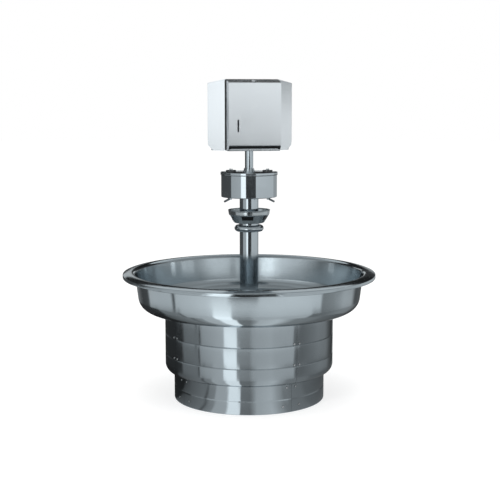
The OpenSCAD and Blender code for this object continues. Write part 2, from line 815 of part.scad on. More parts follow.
module soap_lever(i) {
  color(steel) at_soap(i) translate([pivot_x, 0, pivot_z]) rotate([0, lever_drop, 0]) difference() {
    union() {
      translate([0, lever_w / 2, 0]) rotate([90, 0, 0]) cylinder(r = knuckle_r, h = lever_w);
      translate([0, -lever_w / 2, -lever_t / 2]) cube([lever_l - lever_w / 2, lever_w, lever_t]);
      translate([lever_l - lever_w / 2, 0, -lever_t / 2]) cylinder(r = lever_w / 2, h = lever_t, $fn = 48);
    }
    cross_pin(lever_pin_r + run, lever_pin_l);
  }
}

module lever_pins() {
  color(bright_steel) for (i = [0:2]) at_soap(i)
    translate([pivot_x, 0, pivot_z]) cross_pin(lever_pin_r, lever_pin_l);
}

module post() {
  color(bright_steel) rotate_extrude() polygon([
    [post_r - post_t, post_z], [post_r, post_z], [post_r, post_top], [0, post_top],
    [0, post_top - post_t], [post_r - post_t, post_top - post_t]]);
}

module post_collar() {
  low = lid_top + slip;
  foot = 5;
  foot_w = 11;
  wall = 6;
  high = low + 16;
  color(bright_steel) rotate_extrude() polygon([
    [post_r + slip, low], [post_r + foot_w, low], [post_r + foot_w, low + foot],
    [post_r + wall, low + foot + wall / 2], [post_r + wall, high], [post_r + slip, high]]);
}

// Sleeve on the post, with a web and a back plate behind each dispenser
module dispenser_bracket() {
  plate_x = disp_back - slip - bracket_t;
  color(dark_steel) translate([0, 0, bracket_low]) linear_extrude(bracket_top - bracket_low) difference() {
    union() {
      circle(r = sleeve_r);
      for (i = [0:2]) at_dispenser(i) {
        translate([post_r + bracket_t, -bracket_t / 2]) square([plate_x - post_r, bracket_t]);
        translate([plate_x, -bracket_w / 2]) square([bracket_t, bracket_w]);
      }
    }
    circle(r = post_r + slip);
  }
}

// Height of the outer top of a dispenser at distance x
function top_z(x) = front_top + (disp_front - x) * tan(tilt);

// Slab of a side outline, between two distances along the dispenser's width
module slab(y0, y1) {
  translate([0, y1, 0]) rotate([90, 0, 0]) linear_extrude(y1 - y0) children();
}

// Open cabinet: two sides, back, floor with the towel tray lip, and the lock rail
module cabinet(i) {
  half = disp_w / 2;
  front = disp_front - shell_gap;
  drop = shell_gap / cos(tilt);
  chin_x = disp_front - chin_d;
  lip_x = lip_h * chin_d / chin_h;
  lip_in = 12;
  lip_half = half - lip_in;
  cut = 3;
  color(steel) at_dispenser(i) difference() {
    union() {
      for (s = [-1, 1]) slab(s > 0 ? half - disp_t : -half, s > 0 ? half : -half + disp_t) polygon([
        [disp_back, disp_z], [chin_x, disp_z], [front, disp_z + chin_h * (front - chin_x) / chin_d],
        [front, top_z(front) - drop - cut], [front - cut, top_z(front - cut) - drop],
        [disp_back, top_z(disp_back) - drop]]);
      translate([disp_back, -half, disp_z]) cube([disp_t, 2 * half, disp_h - drop - 1]);
      translate([disp_back, -half, disp_z]) cube([disp_d - chin_d, 2 * half, disp_t]);
      slab(-lip_half, lip_half) polygon([
        [chin_x - 2 * disp_t, disp_z], [chin_x, disp_z], [chin_x + lip_x, disp_z + lip_h],
        [chin_x + lip_x - disp_t, disp_z + lip_h + 1], [chin_x - disp_t, disp_z + disp_t]]);
      at_lock() translate([-rail_back - rail_w / 2, -half + disp_t / 2, -rail_depth - disp_t])
        cube([rail_w, disp_w - disp_t, disp_t]);
    }
    translate([hinge_x, 0, hinge_z]) cross_pin(pin_r + run, disp_w + 2);
  }
}

// Place and tilt of the lock, on the sloping top of the door
module at_lock() {
  translate([lock_x, 0, lock_z]) rotate([0, tilt, 0]) children();
}

// Drop-down front with its sloping top, hinged along its lower edge
module towel_door(i) {
  half = disp_w / 2;
  back = disp_back + slip;
  bend = 3;
  in = disp_front - disp_t;
  drop = disp_t / cos(tilt);
  c = [disp_front - bend, front_top + bend * (tan(tilt) - 1 / cos(tilt))];
  notch_z = hinge_z + notch_h;
  return_z = front_top - 10;
  slot_r = slot_w / 2;
  color(steel) at_dispenser(i) difference() {
    union() {
      slab(-half, half) polygon(concat(
        [[in, notch_z], [disp_front, notch_z]], arc(c, bend, 0, 90 - tilt, 4), [[back, top_z(back)],
         [back, top_z(back) - drop]], arc(c, bend - disp_t, 90 - tilt, 0, 4)));
      slab(-side_in, side_in) polygon([
        [in, hinge_z], [disp_front, hinge_z], [disp_front, notch_z + 1], [in, notch_z + 1]]);
      for (s = [-1, 1]) slab(s > 0 ? side_in - disp_t : -side_in, s > 0 ? side_in : -side_in + disp_t)
        polygon([
          [in - return_d, notch_z + 1], [in + disp_t / 3, notch_z + 1],
          [in + disp_t / 3, return_z], [in - return_d, return_z]]);
      translate([hinge_x, side_in, hinge_z]) rotate([90, 0, 0])
        cylinder(r = hinge_knuckle_r, h = 2 * side_in);
      at_lock() translate([0, 0, -rail_depth]) cylinder(r = plug_r + 4, h = rail_depth - disp_t / 2);
    }
    translate([hinge_x, 0, hinge_z]) cross_pin(pin_r + run, disp_w + 2);
    at_lock() translate([0, 0, -rail_depth - 1]) cylinder(r = plug_r + run, h = rail_depth + 5, $fn = 48);
    translate([disp_front - 10, slot_x - half, disp_z + slot_z]) {
      translate([0, -slot_r, slot_r]) cube([20, slot_w, slot_h - slot_w]);
      for (z = [slot_r, slot_h - slot_r]) translate([0, 0, z]) rotate([0, 90, 0])
        cylinder(r = slot_r, h = 20, $fn = 48);
    }
  }
}

module hinge_pins() {
  color(bright_steel) for (i = [0:2]) at_dispenser(i)
    translate([hinge_x, 0, hinge_z]) cross_pin(pin_r, disp_w);
}

// Turning plug of a door lock, with its keyhole and the cam below, shown unlocked
module door_lock(i) {
  head_t = 2.5;
  keyhole = [7, 1.4, 5];
  cam_z = -plug_l - cam_t;
  color(bright_steel) at_dispenser(i) at_lock() difference() {
    union() {
      translate([0, 0, slip]) cylinder(r = lock_head_r, h = head_t);
      translate([0, 0, -plug_l]) cylinder(r = plug_r, h = plug_l + 1, $fn = 48);
      translate([0, 0, cam_z]) cylinder(r = plug_r, h = cam_t, $fn = 48);
      translate([-cam_w / 2, 0, cam_z]) cube([cam_w, cam_l, cam_t]);
    }
    translate([-keyhole[0] / 2, -keyhole[1] / 2, 1]) cube(keyhole);
  }
}

base_panel(0);  // base_panel_1
base_panel(1);  // base_panel_2
base_panel(2);  // base_panel_3
base_panel(3);  // base_panel_4
skirt_panel(0);  // skirt_panel_1
skirt_panel(1);  // skirt_panel_2
skirt_panel(2);  // skirt_panel_3
skirt_panel(3);  // skirt_panel_4
base_screws();
skirt_screws();
floor_ring();
middle_ring();
frame_uprights();
bowl_ring();
bowl();
drain_strainer();
drain_body();
waste_trap();
stop_valves();
stop_handle(1, "#b5342c");  // hot_stop_handle
stop_handle(-1, "#2f5fa8");  // cold_stop_handle
mixing_valve();
solenoid_valve();
supply_riser();
control_box();
foot_gasket();
foot_tube();
column_tube();
joint_screw();
spray_ring();
sensor_cup();
sensor_windows();
upper_tube();
soap_drum();
drum_lid();
filler_cap(0);  // filler_cap_1
filler_cap(1);  // filler_cap_2
filler_cap(2);  // filler_cap_3
soap_valve(0);  // soap_valve_1
soap_valve(1);  // soap_valve_2
soap_valve(2);  // soap_valve_3
soap_lever(0);  // soap_lever_1
soap_lever(1);  // soap_lever_2
soap_lever(2);  // soap_lever_3
lever_pins();
post();
post_collar();
dispenser_bracket();
cabinet(0);  // cabinet_1
cabinet(1);  // cabinet_2
cabinet(2);  // cabinet_3
towel_door(0);  // towel_door_1
towel_door(1);  // towel_door_2
towel_door(2);  // towel_door_3
hinge_pins();
door_lock(0);  // door_lock_1
door_lock(1);  // door_lock_2
door_lock(2);  // door_lock_3
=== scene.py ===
from math import asin, atan2, cos, degrees, pi, radians, sin, tan

import bmesh
import bpy
from mathutils import Matrix, Vector


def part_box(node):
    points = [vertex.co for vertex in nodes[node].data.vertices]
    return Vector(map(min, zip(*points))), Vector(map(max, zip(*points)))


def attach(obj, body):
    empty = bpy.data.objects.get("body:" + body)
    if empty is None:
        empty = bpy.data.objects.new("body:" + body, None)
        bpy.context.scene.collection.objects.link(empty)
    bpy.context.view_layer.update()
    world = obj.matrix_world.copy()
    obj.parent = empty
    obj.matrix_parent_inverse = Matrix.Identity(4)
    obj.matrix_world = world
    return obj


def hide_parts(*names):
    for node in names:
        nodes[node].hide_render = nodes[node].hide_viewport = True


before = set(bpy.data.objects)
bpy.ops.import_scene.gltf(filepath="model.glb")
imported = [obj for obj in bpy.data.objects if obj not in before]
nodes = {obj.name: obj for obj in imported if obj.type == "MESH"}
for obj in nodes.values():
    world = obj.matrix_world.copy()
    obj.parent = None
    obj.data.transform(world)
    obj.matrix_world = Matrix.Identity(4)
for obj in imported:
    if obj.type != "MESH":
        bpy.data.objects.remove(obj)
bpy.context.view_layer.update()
MM = 0.001

# The photograph's view: a long lens at eye height, about six metres away,
# looking a little down on the bowl.
CAMERA_PLACE = (0.0050, -5.900, 1.602)
CAMERA_PITCH = radians(7.7)
CAMERA_LENS, SENSOR_WIDTH = 79.1, 36

camera = bpy.data.objects.new("camera", bpy.data.cameras.new("camera"))
camera.data.lens = CAMERA_LENS
camera.data.sensor_width = SENSOR_WIDTH
camera.location = CAMERA_PLACE
camera.rotation_euler = (pi / 2 - CAMERA_PITCH, 0, 0)
bpy.context.scene.collection.objects.link(camera)
bpy.context.scene.camera = camera
bpy.context.scene.view_settings.view_transform = "Standard"


def add(tree, kind, links=None, **settings):
    """A new node with its settings, its inputs linked to sockets or set to values."""
    node = tree.nodes.new("ShaderNode" + kind)
    for name, value in settings.items():
        setattr(node, name, value)
    for name, value in (links or {}).items():
        if isinstance(value, bpy.types.NodeSocket):
            tree.links.new(value, node.inputs[name])
        else:
            node.inputs[name].default_value = value
    return node


def linear(hex_colour):
    """An sRGB colour such as #A9B4BC as linear red, green, blue and alpha."""
    parts = [int(hex_colour[i:i + 2], 16) / 255 for i in (1, 3, 5)]
    return [c / 12.92 if c < 0.04045 else ((c + 0.055) / 1.055) ** 2.4 for c in parts] + [1]


def plain_sight(tree):
    """A socket that is 1 for what is seen directly, mirrored or through glass, and 0 for diffuse light."""
    path = add(tree, "LightPath")
    seen = add(tree, "Math", {0: path.outputs["Is Camera Ray"], 1: path.outputs["Is Glossy Ray"]},
               operation="MAXIMUM")
    return add(tree, "Math", {0: seen.outputs[0], 1: path.outputs["Is Transmission Ray"]},
               operation="MAXIMUM").outputs[0]


# White world: the camera, and what metal and glass reflect, see plain white
# above the sweep, and the diffuse light that it gives is a little lower.
WORLD_FILL = 0.75

world = bpy.data.worlds.new("white studio")
bpy.context.scene.world = world
world.use_nodes = True
tree = world.node_tree
tree.nodes.clear()
level = add(tree, "Mix", {"Factor": plain_sight(tree), "A": WORLD_FILL, "B": 1.0})
back = add(tree, "Background", {"Color": linear("#FFFFFF"), "Strength": level.outputs[0]})
add(tree, "OutputWorld", {"Surface": back.outputs[0]})


SHARP = radians(40)


def new_object(name, bm):
    """An object from a finished bmesh, smooth but for its real edges."""
    mesh = bpy.data.meshes.new(name)
    for face in bm.faces:
        face.smooth = True
    bm.to_mesh(mesh)
    bm.free()
    mesh.set_sharp_from_angle(angle=SHARP)
    piece = bpy.data.objects.new(name, mesh)
    bpy.context.scene.collection.objects.link(piece)
    return piece


def new_material(name):
    """A material with an empty node tree, and that tree."""
    material = bpy.data.materials.new(name)
    material.use_nodes = True
    material.node_tree.nodes.clear()
    return material, material.node_tree


# Pale floor of the studio: matt paper, mostly lit from within for the camera,
# so that only a soft shadow of the pedestal is left on it.
FLOOR_R, FLOOR_SIDES = 40, 64
FLOOR_GLOW = 0.62
FLOOR_PAPER = "#C6C6C6"

bm = bmesh.new()
bmesh.ops.create_circle(bm, cap_ends=True, segments=FLOOR_SIDES, radius=FLOOR_R)
floor = new_object("studio_floor", bm)
paper, tree = new_material("white paper")
glow = add(tree, "Math", {0: plain_sight(tree), 1: FLOOR_GLOW}, operation="MULTIPLY")
matt = add(tree, "BsdfDiffuse", {"Color": linear(FLOOR_PAPER)})
lit = add(tree, "Emission", {"Color": linear("#FFFFFF"), "Strength": glow.outputs[0]})
both = add(tree, "AddShader", {0: matt.outputs[0], 1: lit.outputs[0]})
add(tree, "OutputMaterial", {"Surface": both.outputs[0]})
floor.data.materials.append(paper)

# Soft lamps: a large one overhead, a key to the left of the camera and a fill
# to its right. They light the matt pieces and the floor; the steel shows the sweep.
LAMPS = [
    ("top_lamp", (0, -0.6, 4.2), 3.2, 70),
    ("key_lamp", (-2.6, -4.6, 3.0), 1.8, 60),
    ("fill_lamp", (4.2, -2.8, 2.4), 1.8, 30),
]
LAMP_AIM = (0, 0, 0.8)

for name, place, size, watts in LAMPS:
    lamp = bpy.data.objects.new(name, bpy.data.lights.new(name, "AREA"))
    lamp.data.size = size
    lamp.data.energy = watts
    lamp.location = place
    lamp.rotation_euler = (Vector(LAMP_AIM) - Vector(place)).to_track_quat("-Z", "Y").to_euler()
    lamp.visible_glossy = False
    lamp.visible_camera = False
    bpy.context.scene.collection.objects.link(lamp)

# Sweep of grey cards and flags that the polished steel mirrors. Near the pedestal
# it is a floor ring and a low round wall, and beyond them a table that runs out to
# a far round wall.
RING_IN, RING_MIDDLE, RING_OUT, RING_Z = 0.4105, 0.60, 1.05, 0.002
SWEEP_STEP = 6

# The cards on the floor fan out from the base, less and less towards its back, so
# that its panels mirror them in straight upright bands.
RING_FAN = {RING_IN: 0.72, RING_MIDDLE: 0.93, RING_OUT: 1.12}
FAN_ENDS = 120

# Each band has its edges (radius, height, in metres) and its cards as (angle, tone),
# angles in degrees from the camera's side towards +X.
FLOOR_CARDS = [  # mirrored by the base panels
    (-180, 0.93), (-155, 0.87), (-145, 0.23), (-130, 0.02), (-87, 0.03), (-84, 0.12), (-50, 0.31),
    (-48.5, 0.17), (-46.5, 0.17), (-45, 0.35), (-38, 0.42), (-36, 0.70), (-24, 0.72), (-21, 1.57),
    (-10, 1.57), (-8.5, 0.30), (1, 0.28), (8, 0.72), (23, 0.86), (38, 0.35), (61, 0.30), (68, 0.23),
    (92, 0.17), (120, 0.12), (142, 0.29), (152, 0.87), (180, 0.93)]
SWEEP = [
    ((RING_IN, RING_Z), (RING_MIDDLE, RING_Z), FLOOR_CARDS),
    ((RING_MIDDLE, RING_Z), (RING_OUT, RING_Z), FLOOR_CARDS),
    ((RING_OUT, RING_Z), (RING_OUT, 0.345), [  # low wall, mirrored by the skirt
        (-180, 0.93), (-158, 0.87), (-148, 0.23), (-143, 0.03), (-83, 0.05), (-79, 0.26), (-57, 0.30),
        (-56.5, 0.09), (-55, 0.09), (-54.5, 0.49), (-50, 0.58), (-27.6, 0.77), (-27.3, 0.86), (-25.8, 1.78),
        (-13.4, 1.78), (-12, 0.48), (0, 0.43), (4, 0.64), (23, 0.72), (27, 0.67), (48.5, 0.67),
        (50.5, 0.22), (60, 0.23), (88, 0.37), (105, 0.32), (115, 0.15), (130, 0.03), (142, 0.35),
        (150, 0.87), (180, 0.93)]),
    ((RING_OUT, 0.345), (RING_OUT, 0.425), [  # upper edge of the low wall, mirrored by the bowl's belly
        (-180, 0.80), (-145, 0.75), (-135, 0.30), (-108, 0.08), (-94, 0.10), (-91, 0.72), (-62, 0.78),
        (-60, 0.08), (-59, 0.08), (-57.5, 0.82), (-41, 0.90), (-31, 1.04), (-26, 1.28), (-14, 1.25),
        (-7, 1.02), (30, 1.02), (56, 0.90), (57.5, 0.34), (70, 0.42), (84, 0.66), (98, 0.58), (106, 0.12),
        (130, 0.12), (140, 0.60), (180, 0.80)]),
    ((RING_OUT, 0.425), (RING_OUT, 0.55), [  # top of the low wall, mirrored under the rolled rim
        (-180, 0.80), (-145, 0.75), (-135, 0.30), (-108, 0.08), (-94, 0.10), (-91, 0.68), (-62, 0.74),
        (-60, 0.08), (-59, 0.08), (-57.5, 0.76), (-41, 0.86), (-16, 0.90), (-13, 0.01), (5, 0.01), (8, 0.80),
        (30, 0.98), (56, 0.84), (57.5, 0.32), (78, 0.46), (84, 0.60), (98, 0.52), (106, 0.12), (130, 0.12),
        (140, 0.60), (180, 0.80)]),
    ((RING_OUT, 0.55), (2.2, 0.48), [  # table, mirrored by the turned-down edge of the rim
        (-180, 0.08), (-165, 0.10), (-80, 0.08), (-77, 0.55), (-29, 0.62), (-28.5, 1.60), (-27.5, 1.60),
        (-27, 0.25), (-26.2, 0.25), (-25.8, 1.90), (-12, 1.90), (-11.3, 0.02), (18.4, 0.02), (19, 1.40),
        (20, 1.40), (20.5, 0.62), (118, 0.68), (122, 0.50), (150, 0.42), (158, 0.08), (180, 0.05)]),
    ((2.2, 0.48), (8, 0.15), [  # outer table, mirrored low on the column and the drum
        (-180, 0.08), (-165, 0.10), (-80, 0.10), (-77, 0.55), (-34, 0.62), (-32, 1.70), (-14, 1.70),
        (-12, 0.06), (27, 0.07), (28.5, 0.74), (117, 0.70), (122, 0.50), (165, 0.42), (174, 0.60),
        (178, 0.30), (180, 0.08)]),
    ((8, 0.15), (8, 1.02), [  # far wall, mirrored by the column, the drum and the post
        (-180, 0.45), (-176, 0.45), (-173, 0.08), (-80, 0.10), (-77, 0.55), (-34, 0.62), (-32, 1.70),
        (-14, 1.70), (-12, 0.06), (27, 0.07), (28.5, 0.80), (117, 0.72), (122, 0.50), (172, 0.42),
        (176, 0.45), (180, 0.45)]),
    ((8, 1.02), (8, 1.20), [  # strip of the far wall, mirrored low on the dispensers
        (-180, 0.50), (-176, 0.50), (-173, 0.08), (-100, 0.10), (-80, 0.50), (-60, 1.05), (-12, 1.15),
        (-8, 0.95), (45, 0.90), (60, 0.60), (117, 0.50), (122, 0.45), (172, 0.35), (176, 0.50), (180, 0.50)]),
    ((8, 1.20), (8, 1.60), [  # far wall above that, mirrored inside the bowl
        (-180, 0.90), (-177, 0.90), (-175, 0.08), (-110, 0.08), (-105, 0.50), (-103, 1.30), (-97, 1.30),
        (-95, 0.50), (-84, 0.08), (-70, 0.20), (-50, 0.60), (-38, 1.20), (-30, 2.60), (-24, 4.20),
        (-15, 3.60), (-11, 1.30), (8, 1.10), (14, 1.00), (16, 0.12), (20, 0.12), (23, 1.10), (38, 1.45),
        (50, 1.10), (62, 0.66), (65, 1.35), (78, 1.35), (81, 0.55), (88, 0.55), (89.5, 2.60), (93, 2.60),
        (94.5, 0.45), (117, 0.36), (130, 0.15), (160, 0.15), (166, 0.35), (173, 0.30), (176, 0.90),
        (180, 0.90)]),
    ((8, 1.60), (8, 2.6), [  # middle of the far wall, mirrored by the dispensers
        (-180, 0.05), (-172, 0.05), (-168, 0.60), (-145, 0.60), (-140, 0.10), (-90, 0.20), (-70, 0.90),
        (-58, 1.15), (-15, 1.15), (-8, 1.00), (45, 0.95), (56, 0.42), (100, 0.40), (120, 0.12),
        (165, 0.04), (180, 0.05)]),
    ((8, 2.6), (8, 5.6), [  # upper wall, mirrored by the sloping tops of the dispensers
        (-180, 0.02), (-120, 0.03), (-80, 0.45), (-60, 0.60), (60, 0.45), (100, 0.30), (125, 0.04),
        (160, 0.02), (180, 0.02)]),
    ((8, 5.6), (8, 9.0), [  # high wall, mirrored along the near lip of the bowl
        (-180, 0.85), (-130, 0.70), (-90, 0.36), (90, 0.36), (130, 0.70), (180, 0.85)]),
    ((8, 9.0), (4.5, 9.0), [  # edge of the ceiling
        (-180, 0.80), (-120, 0.45), (120, 0.45), (180, 0.80)]),
    ((4.5, 9.0), (0.05, 9.0), [  # ceiling
        (-180, 0.45), (-60, 0.30), (-20, 0.42), (20, 0.34), (60, 0.30), (180, 0.45)]),
]

bm = bmesh.new()
tone_layer = bm.verts.layers.float.new("tone")
for low, high, cards in SWEEP:
    for (here, tone_here), (there, tone_there) in zip(cards, cards[1:]):
        before = set(bm.verts)
        edge = [bm.verts.new((0, -r, z)) for r, z in (low, high)]
        seam = bm.edges.new(edge)
        bmesh.ops.rotate(bm, verts=edge, cent=(0, 0, 0), matrix=Matrix.Rotation(radians(here), 3, "Z"))
        bmesh.ops.spin(bm, geom=edge + [seam], cent=(0, 0, 0), axis=(0, 0, 1), angle=radians(there - here),
                       steps=max(1, round((there - here) / SWEEP_STEP)), use_merge=False)
        for vert in set(bm.verts) - before:
            past = (degrees(atan2(vert.co.x, -vert.co.y)) - here + 1) % 360 - 1
            vert[tone_layer] = tone_here + (tone_there - tone_here) * past / (there - here)
            if cards is FLOOR_CARDS:
                fan = RING_FAN[low[0] if vert.co.xy.length < (low[0] + high[0]) / 2 else high[0]]
                angle = here + past
                wider = angle * (fan - 1) * max(0, 1 - abs(angle) / FAN_ENDS)
                vert.co = Matrix.Rotation(radians(wider), 3, "Z") @ vert.co
sweep = new_object("studio_sweep", bm)
sweep.visible_camera = False
sweep.visible_diffuse = False
sweep.visible_transmission = False
sweep.visible_shadow = False
card, tree = new_material("grey card")
tone = add(tree, "Attribute", attribute_name="tone")
lit = add(tree, "Emission", {"Color": linear("#F5FAFC"), "Strength": tone.outputs["Fac"]})
add(tree, "OutputMaterial", {"Surface": lit.outputs[0]})
sweep.data.materials.append(card)


def dress(material, *names):
    """Gives CAD nodes their finish."""
    for name in names:
        mesh = nodes[name].data
        mesh.materials.clear()
        mesh.materials.append(material)


def fit(piece, material, body, slot, *replaced):
    """Gives a new piece its finish, lets it ride on its body and stand for its CAD nodes."""
    piece.data.materials.clear()
    piece.data.materials.append(material)
    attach(piece, body)
    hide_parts(*replaced)


SPECKLE_DARK, SPECKLE_SPREAD, SPECKLE_DEEP = 0.86, 0.05, 0.1


def plain_finish(name, colour, roughness, metallic=0.0, speckle_mm=2.0, coat=0.0):
    """A cast, moulded or painted surface: one colour with a slight mottling and a fine texture."""
    material, tree = new_material(name)
    place = add(tree, "TexCoord").outputs["Object"]
    speckle = add(tree, "TexNoise", {"Vector": place, "Scale": 1 / (speckle_mm * MM), "Detail": 3.0})
    darker = [c * SPECKLE_DARK for c in linear(colour)[:3]] + [1]
    tint = add(tree, "MixRGB", {"Fac": speckle.outputs["Fac"], "Color1": darker, "Color2": linear(colour)})
    rough = add(tree, "MapRange", {"Value": speckle.outputs["Fac"], "To Min": roughness - SPECKLE_SPREAD,
                                   "To Max": roughness + SPECKLE_SPREAD})
    skin = add(tree, "Bump", {"Height": speckle.outputs["Fac"], "Strength": 0.2,
                              "Distance": SPECKLE_DEEP * MM})
    body = add(tree, "BsdfPrincipled", {
        "Base Color": tint.outputs[0], "Metallic": metallic, "Roughness": rough.outputs[0],
        "Coat Weight": coat, "Normal": skin.outputs[0]})
    add(tree, "OutputMaterial", {"Surface": body.outputs[0]})
    return material


# Frame inside the pedestal: rings and bars of mild steel, welded and primed grey.
# The primer is matt, with a fine orange-peel speckle.
primed_steel = plain_finish("grey primed steel", "#7C8388", 0.55, speckle_mm=1.5)
dress(primed_steel, "floor_ring", "middle_ring", "frame_uprights", "bowl_ring")


GRAIN_DARK, GRAIN_SPREAD, GRAIN_DEEP = 0.90, 0.03, 0.2
CLOUD_MM, CLOUD_SPREAD = 111, 0.02


def satin_steel(name, colour, roughness, lay, grain_mm, stretch, mottle=0.0):
    """Stainless steel with a fine directional finish. lay is "round" for sheet that is
    spun or brushed round the axis, or "upright" for sheet brushed up and down."""
    material, tree = new_material(name)
    place = add(tree, "TexCoord").outputs["Object"]
    axes = add(tree, "SeparateXYZ", {0: place})
    if lay == "round":
        back_y = add(tree, "Math", {0: axes.outputs["Y"], 1: -1.0}, operation="MULTIPLY")
        along = add(tree, "CombineXYZ", {"X": back_y.outputs[0], "Y": axes.outputs["X"]}).outputs[0]
        radius = add(tree, "VectorMath", {0: place}, operation="LENGTH")
        streak = add(tree, "CombineXYZ", {"X": radius.outputs["Value"], "Z": axes.outputs["Z"]}).outputs[0]
    else:
        along = add(tree, "CombineXYZ", {"Z": 1.0}).outputs[0]
        streak = add(tree, "VectorMath", {0: place, 1: (1, 1, 0.02)}, operation="MULTIPLY").outputs[0]
    tangent = add(tree, "VectorTransform", {0: along}, vector_type="VECTOR",
                  convert_from="OBJECT", convert_to="WORLD")
    grain = add(tree, "TexNoise", {"Vector": streak, "Scale": 1 / (grain_mm * MM), "Detail": 3.0,
                                   "Roughness": 0.6})
    cloud = add(tree, "TexNoise", {"Vector": place, "Scale": 1 / (CLOUD_MM * MM), "Detail": 4.0,
                                   "Roughness": 0.55})
    darker = [c * GRAIN_DARK for c in linear(colour)[:3]] + [1]
    tint = add(tree, "MixRGB", {"Fac": grain.outputs["Fac"], "Color1": darker, "Color2": linear(colour)})
    rough = add(tree, "MapRange", {"Value": grain.outputs["Fac"], "From Min": 0.3, "From Max": 0.7,
                                   "To Min": roughness - GRAIN_SPREAD, "To Max": roughness + GRAIN_SPREAD})
    spread = add(tree, "MapRange", {"Value": cloud.outputs["Fac"], "From Min": 0.3, "From Max": 0.7,
                                    "To Min": -CLOUD_SPREAD - mottle, "To Max": CLOUD_SPREAD + mottle})
    total = add(tree, "Math", {0: rough.outputs[0], 1: spread.outputs[0]}, operation="ADD")
    scratch = add(tree, "Bump", {"Height": grain.outputs["Fac"], "Strength": 0.05,
                                 "Distance": GRAIN_DEEP * MM})
    steel = add(tree, "BsdfPrincipled", {
        "Base Color": tint.outputs[0], "Metallic": 1.0, "Roughness": total.outputs[0],
        "Anisotropic": stretch, "Anisotropic Rotation": 0.25, "Tangent": tangent.outputs[0],
        "Normal": scratch.outputs[0]})
    add(tree, "OutputMaterial", {"Surface": steel.outputs[0]})
    return material


def arc(centre, radius, start, end, steps):
    """Points of an outline on an arc, from one angle to another in degrees."""
    turns = [radians(start + (end - start) * k / steps) for k in range(steps + 1)]
    return [(centre[0] + radius * cos(turn), centre[1] + radius * sin(turn)) for turn in turns]


def turned(outline, steps, closed=False, start=0, angle=360):
    """A sheet or solid turned round the axis from its outline: (radius, height) points in
    millimetres. Angles in degrees, from the camera's side towards +X."""
    bm = bmesh.new()
    verts = [bm.verts.new((0, -r * MM, z * MM)) for r, z in outline]
    edges = [bm.edges.new(pair) for pair in zip(verts, verts[1:])]
    if closed:
        edges.append(bm.edges.new((verts[-1], verts[0])))
    bmesh.ops.rotate(bm, verts=verts, cent=(0, 0, 0), matrix=Matrix.Rotation(radians(start), 3, "Z"))
    bmesh.ops.spin(bm, geom=verts + edges, cent=(0, 0, 0), axis=(0, 0, 1), angle=radians(angle),
                   steps=steps, use_merge=angle == 360)
    bmesh.ops.remove_doubles(bm, verts=bm.verts[:], dist=0.01 * MM)
    bmesh.ops.recalc_face_normals(bm, faces=bm.faces[:])
    away = sum(face.normal.xy.dot(face.calc_center_median().xy) * face.calc_area() for face in bm.faces)
    if away < 0 and not closed:
        bmesh.ops.reverse_faces(bm, faces=bm.faces[:])
    return bm


def settled(piece):
    """Works a piece's modifiers into its mesh, and marks its real edges again."""
    graph = bpy.context.evaluated_depsgraph_get()
    mesh = bpy.data.meshes.new_from_object(piece.evaluated_get(graph))
    piece.modifiers.clear()
    piece.data = mesh
    mesh.set_sharp_from_angle(angle=SHARP)
    return piece


def sheet_metal(piece, thickness):
    """Gives a surface the thickness of its sheet, inwards from the face that shows."""
    wall = piece.modifiers.new("sheet", "SOLIDIFY")
    wall.thickness = thickness * MM
    wall.offset = -1
    wall.use_even_offset = True
    return settled(piece)


# Base and skirt panels: four stainless sheets each, rolled to a quarter circle,
# with round beads pressed in and the skirt's lower edge turned under to the base.
# Brushed along the sheet, so the eye gets soft upright bands of light and dark.
PANEL_T = 1.5
SEAM_TURN = 32.5
SEAM_GAP = 1.2
BEAD_DEEP = 2.2
BASE_R, BASE_TOP, BASE_BEAD, BASE_BEAD_W = 409.2, 151.7, 73.5, 14
SKIRT_R, SKIRT_Z, SKIRT_IN, CORNER_R = 457.2, 152, 402.4, 42
SKIRT_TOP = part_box("skirt_panel_1")[1].z / MM
SKIRT_BEADS, SKIRT_BEAD_W = (252, 362), 8
PANEL_STEPS = 64


def bead(radius, height, width):
    """Outline of a round bead pressed into a panel."""
    points = 12
    return [(radius - BEAD_DEEP * (0.5 - 0.5 * cos(2 * pi * k / points)), height + width * (k / points - 0.5))
            for k in range(points + 1)]


panel_steel = satin_steel("satin panel steel", "#B0B8BD", 0.14, "round", 0.8, stretch=1.0)
base_outline = [(BASE_R, 0)] + bead(BASE_R, BASE_BEAD, BASE_BEAD_W) + [(BASE_R, BASE_TOP)]
skirt_outline = [(SKIRT_IN, SKIRT_Z)]
skirt_outline += arc((SKIRT_R - CORNER_R, SKIRT_Z + CORNER_R), CORNER_R, -90, 0, 16)
for height in SKIRT_BEADS:
    skirt_outline += bead(SKIRT_R, height, SKIRT_BEAD_W)
skirt_outline += [(SKIRT_R, SKIRT_TOP)]
for kind, outline, radius in (("base", base_outline, BASE_R), ("skirt", skirt_outline, SKIRT_R)):
    half_gap = degrees(asin(SEAM_GAP / 2 / radius))
    for i in range(4):
        bm = turned(outline, PANEL_STEPS, start=SEAM_TURN + 90 * i + half_gap, angle=90 - 2 * half_gap)
        panel = sheet_metal(new_object(f"{kind}_sheet_{i + 1}", bm), PANEL_T)
        fit(panel, panel_steel, "fountain", "panel_steel", f"{kind}_panel_{i + 1}")

# Panel screws: bright pan heads with a cross recess on black nylon washers, in
# pairs beside each seam, driven through the panels into the frame behind. The
# heads read as small bright dots, each with a dull dark ring.
SCREW_R, SCREW_H, SCREW_LIFT = 5, 2.6, 0.9
WASHER_R, WASHER_H, WASHER_BEVEL = 6.4, 0.8, 0.4
RECESS_DEEP = 1.2
RECESS_GRID, RECESS_HALF, RECESS_REACH, DOME_SHARE = 0.55, 0.1, 0.5, 0.72
HEAD_SIDES = 20
SKIRT_SCREWS = [(261, 16), (371, 16)]
BASE_SCREWS = [(34, 50), (134, 27)]


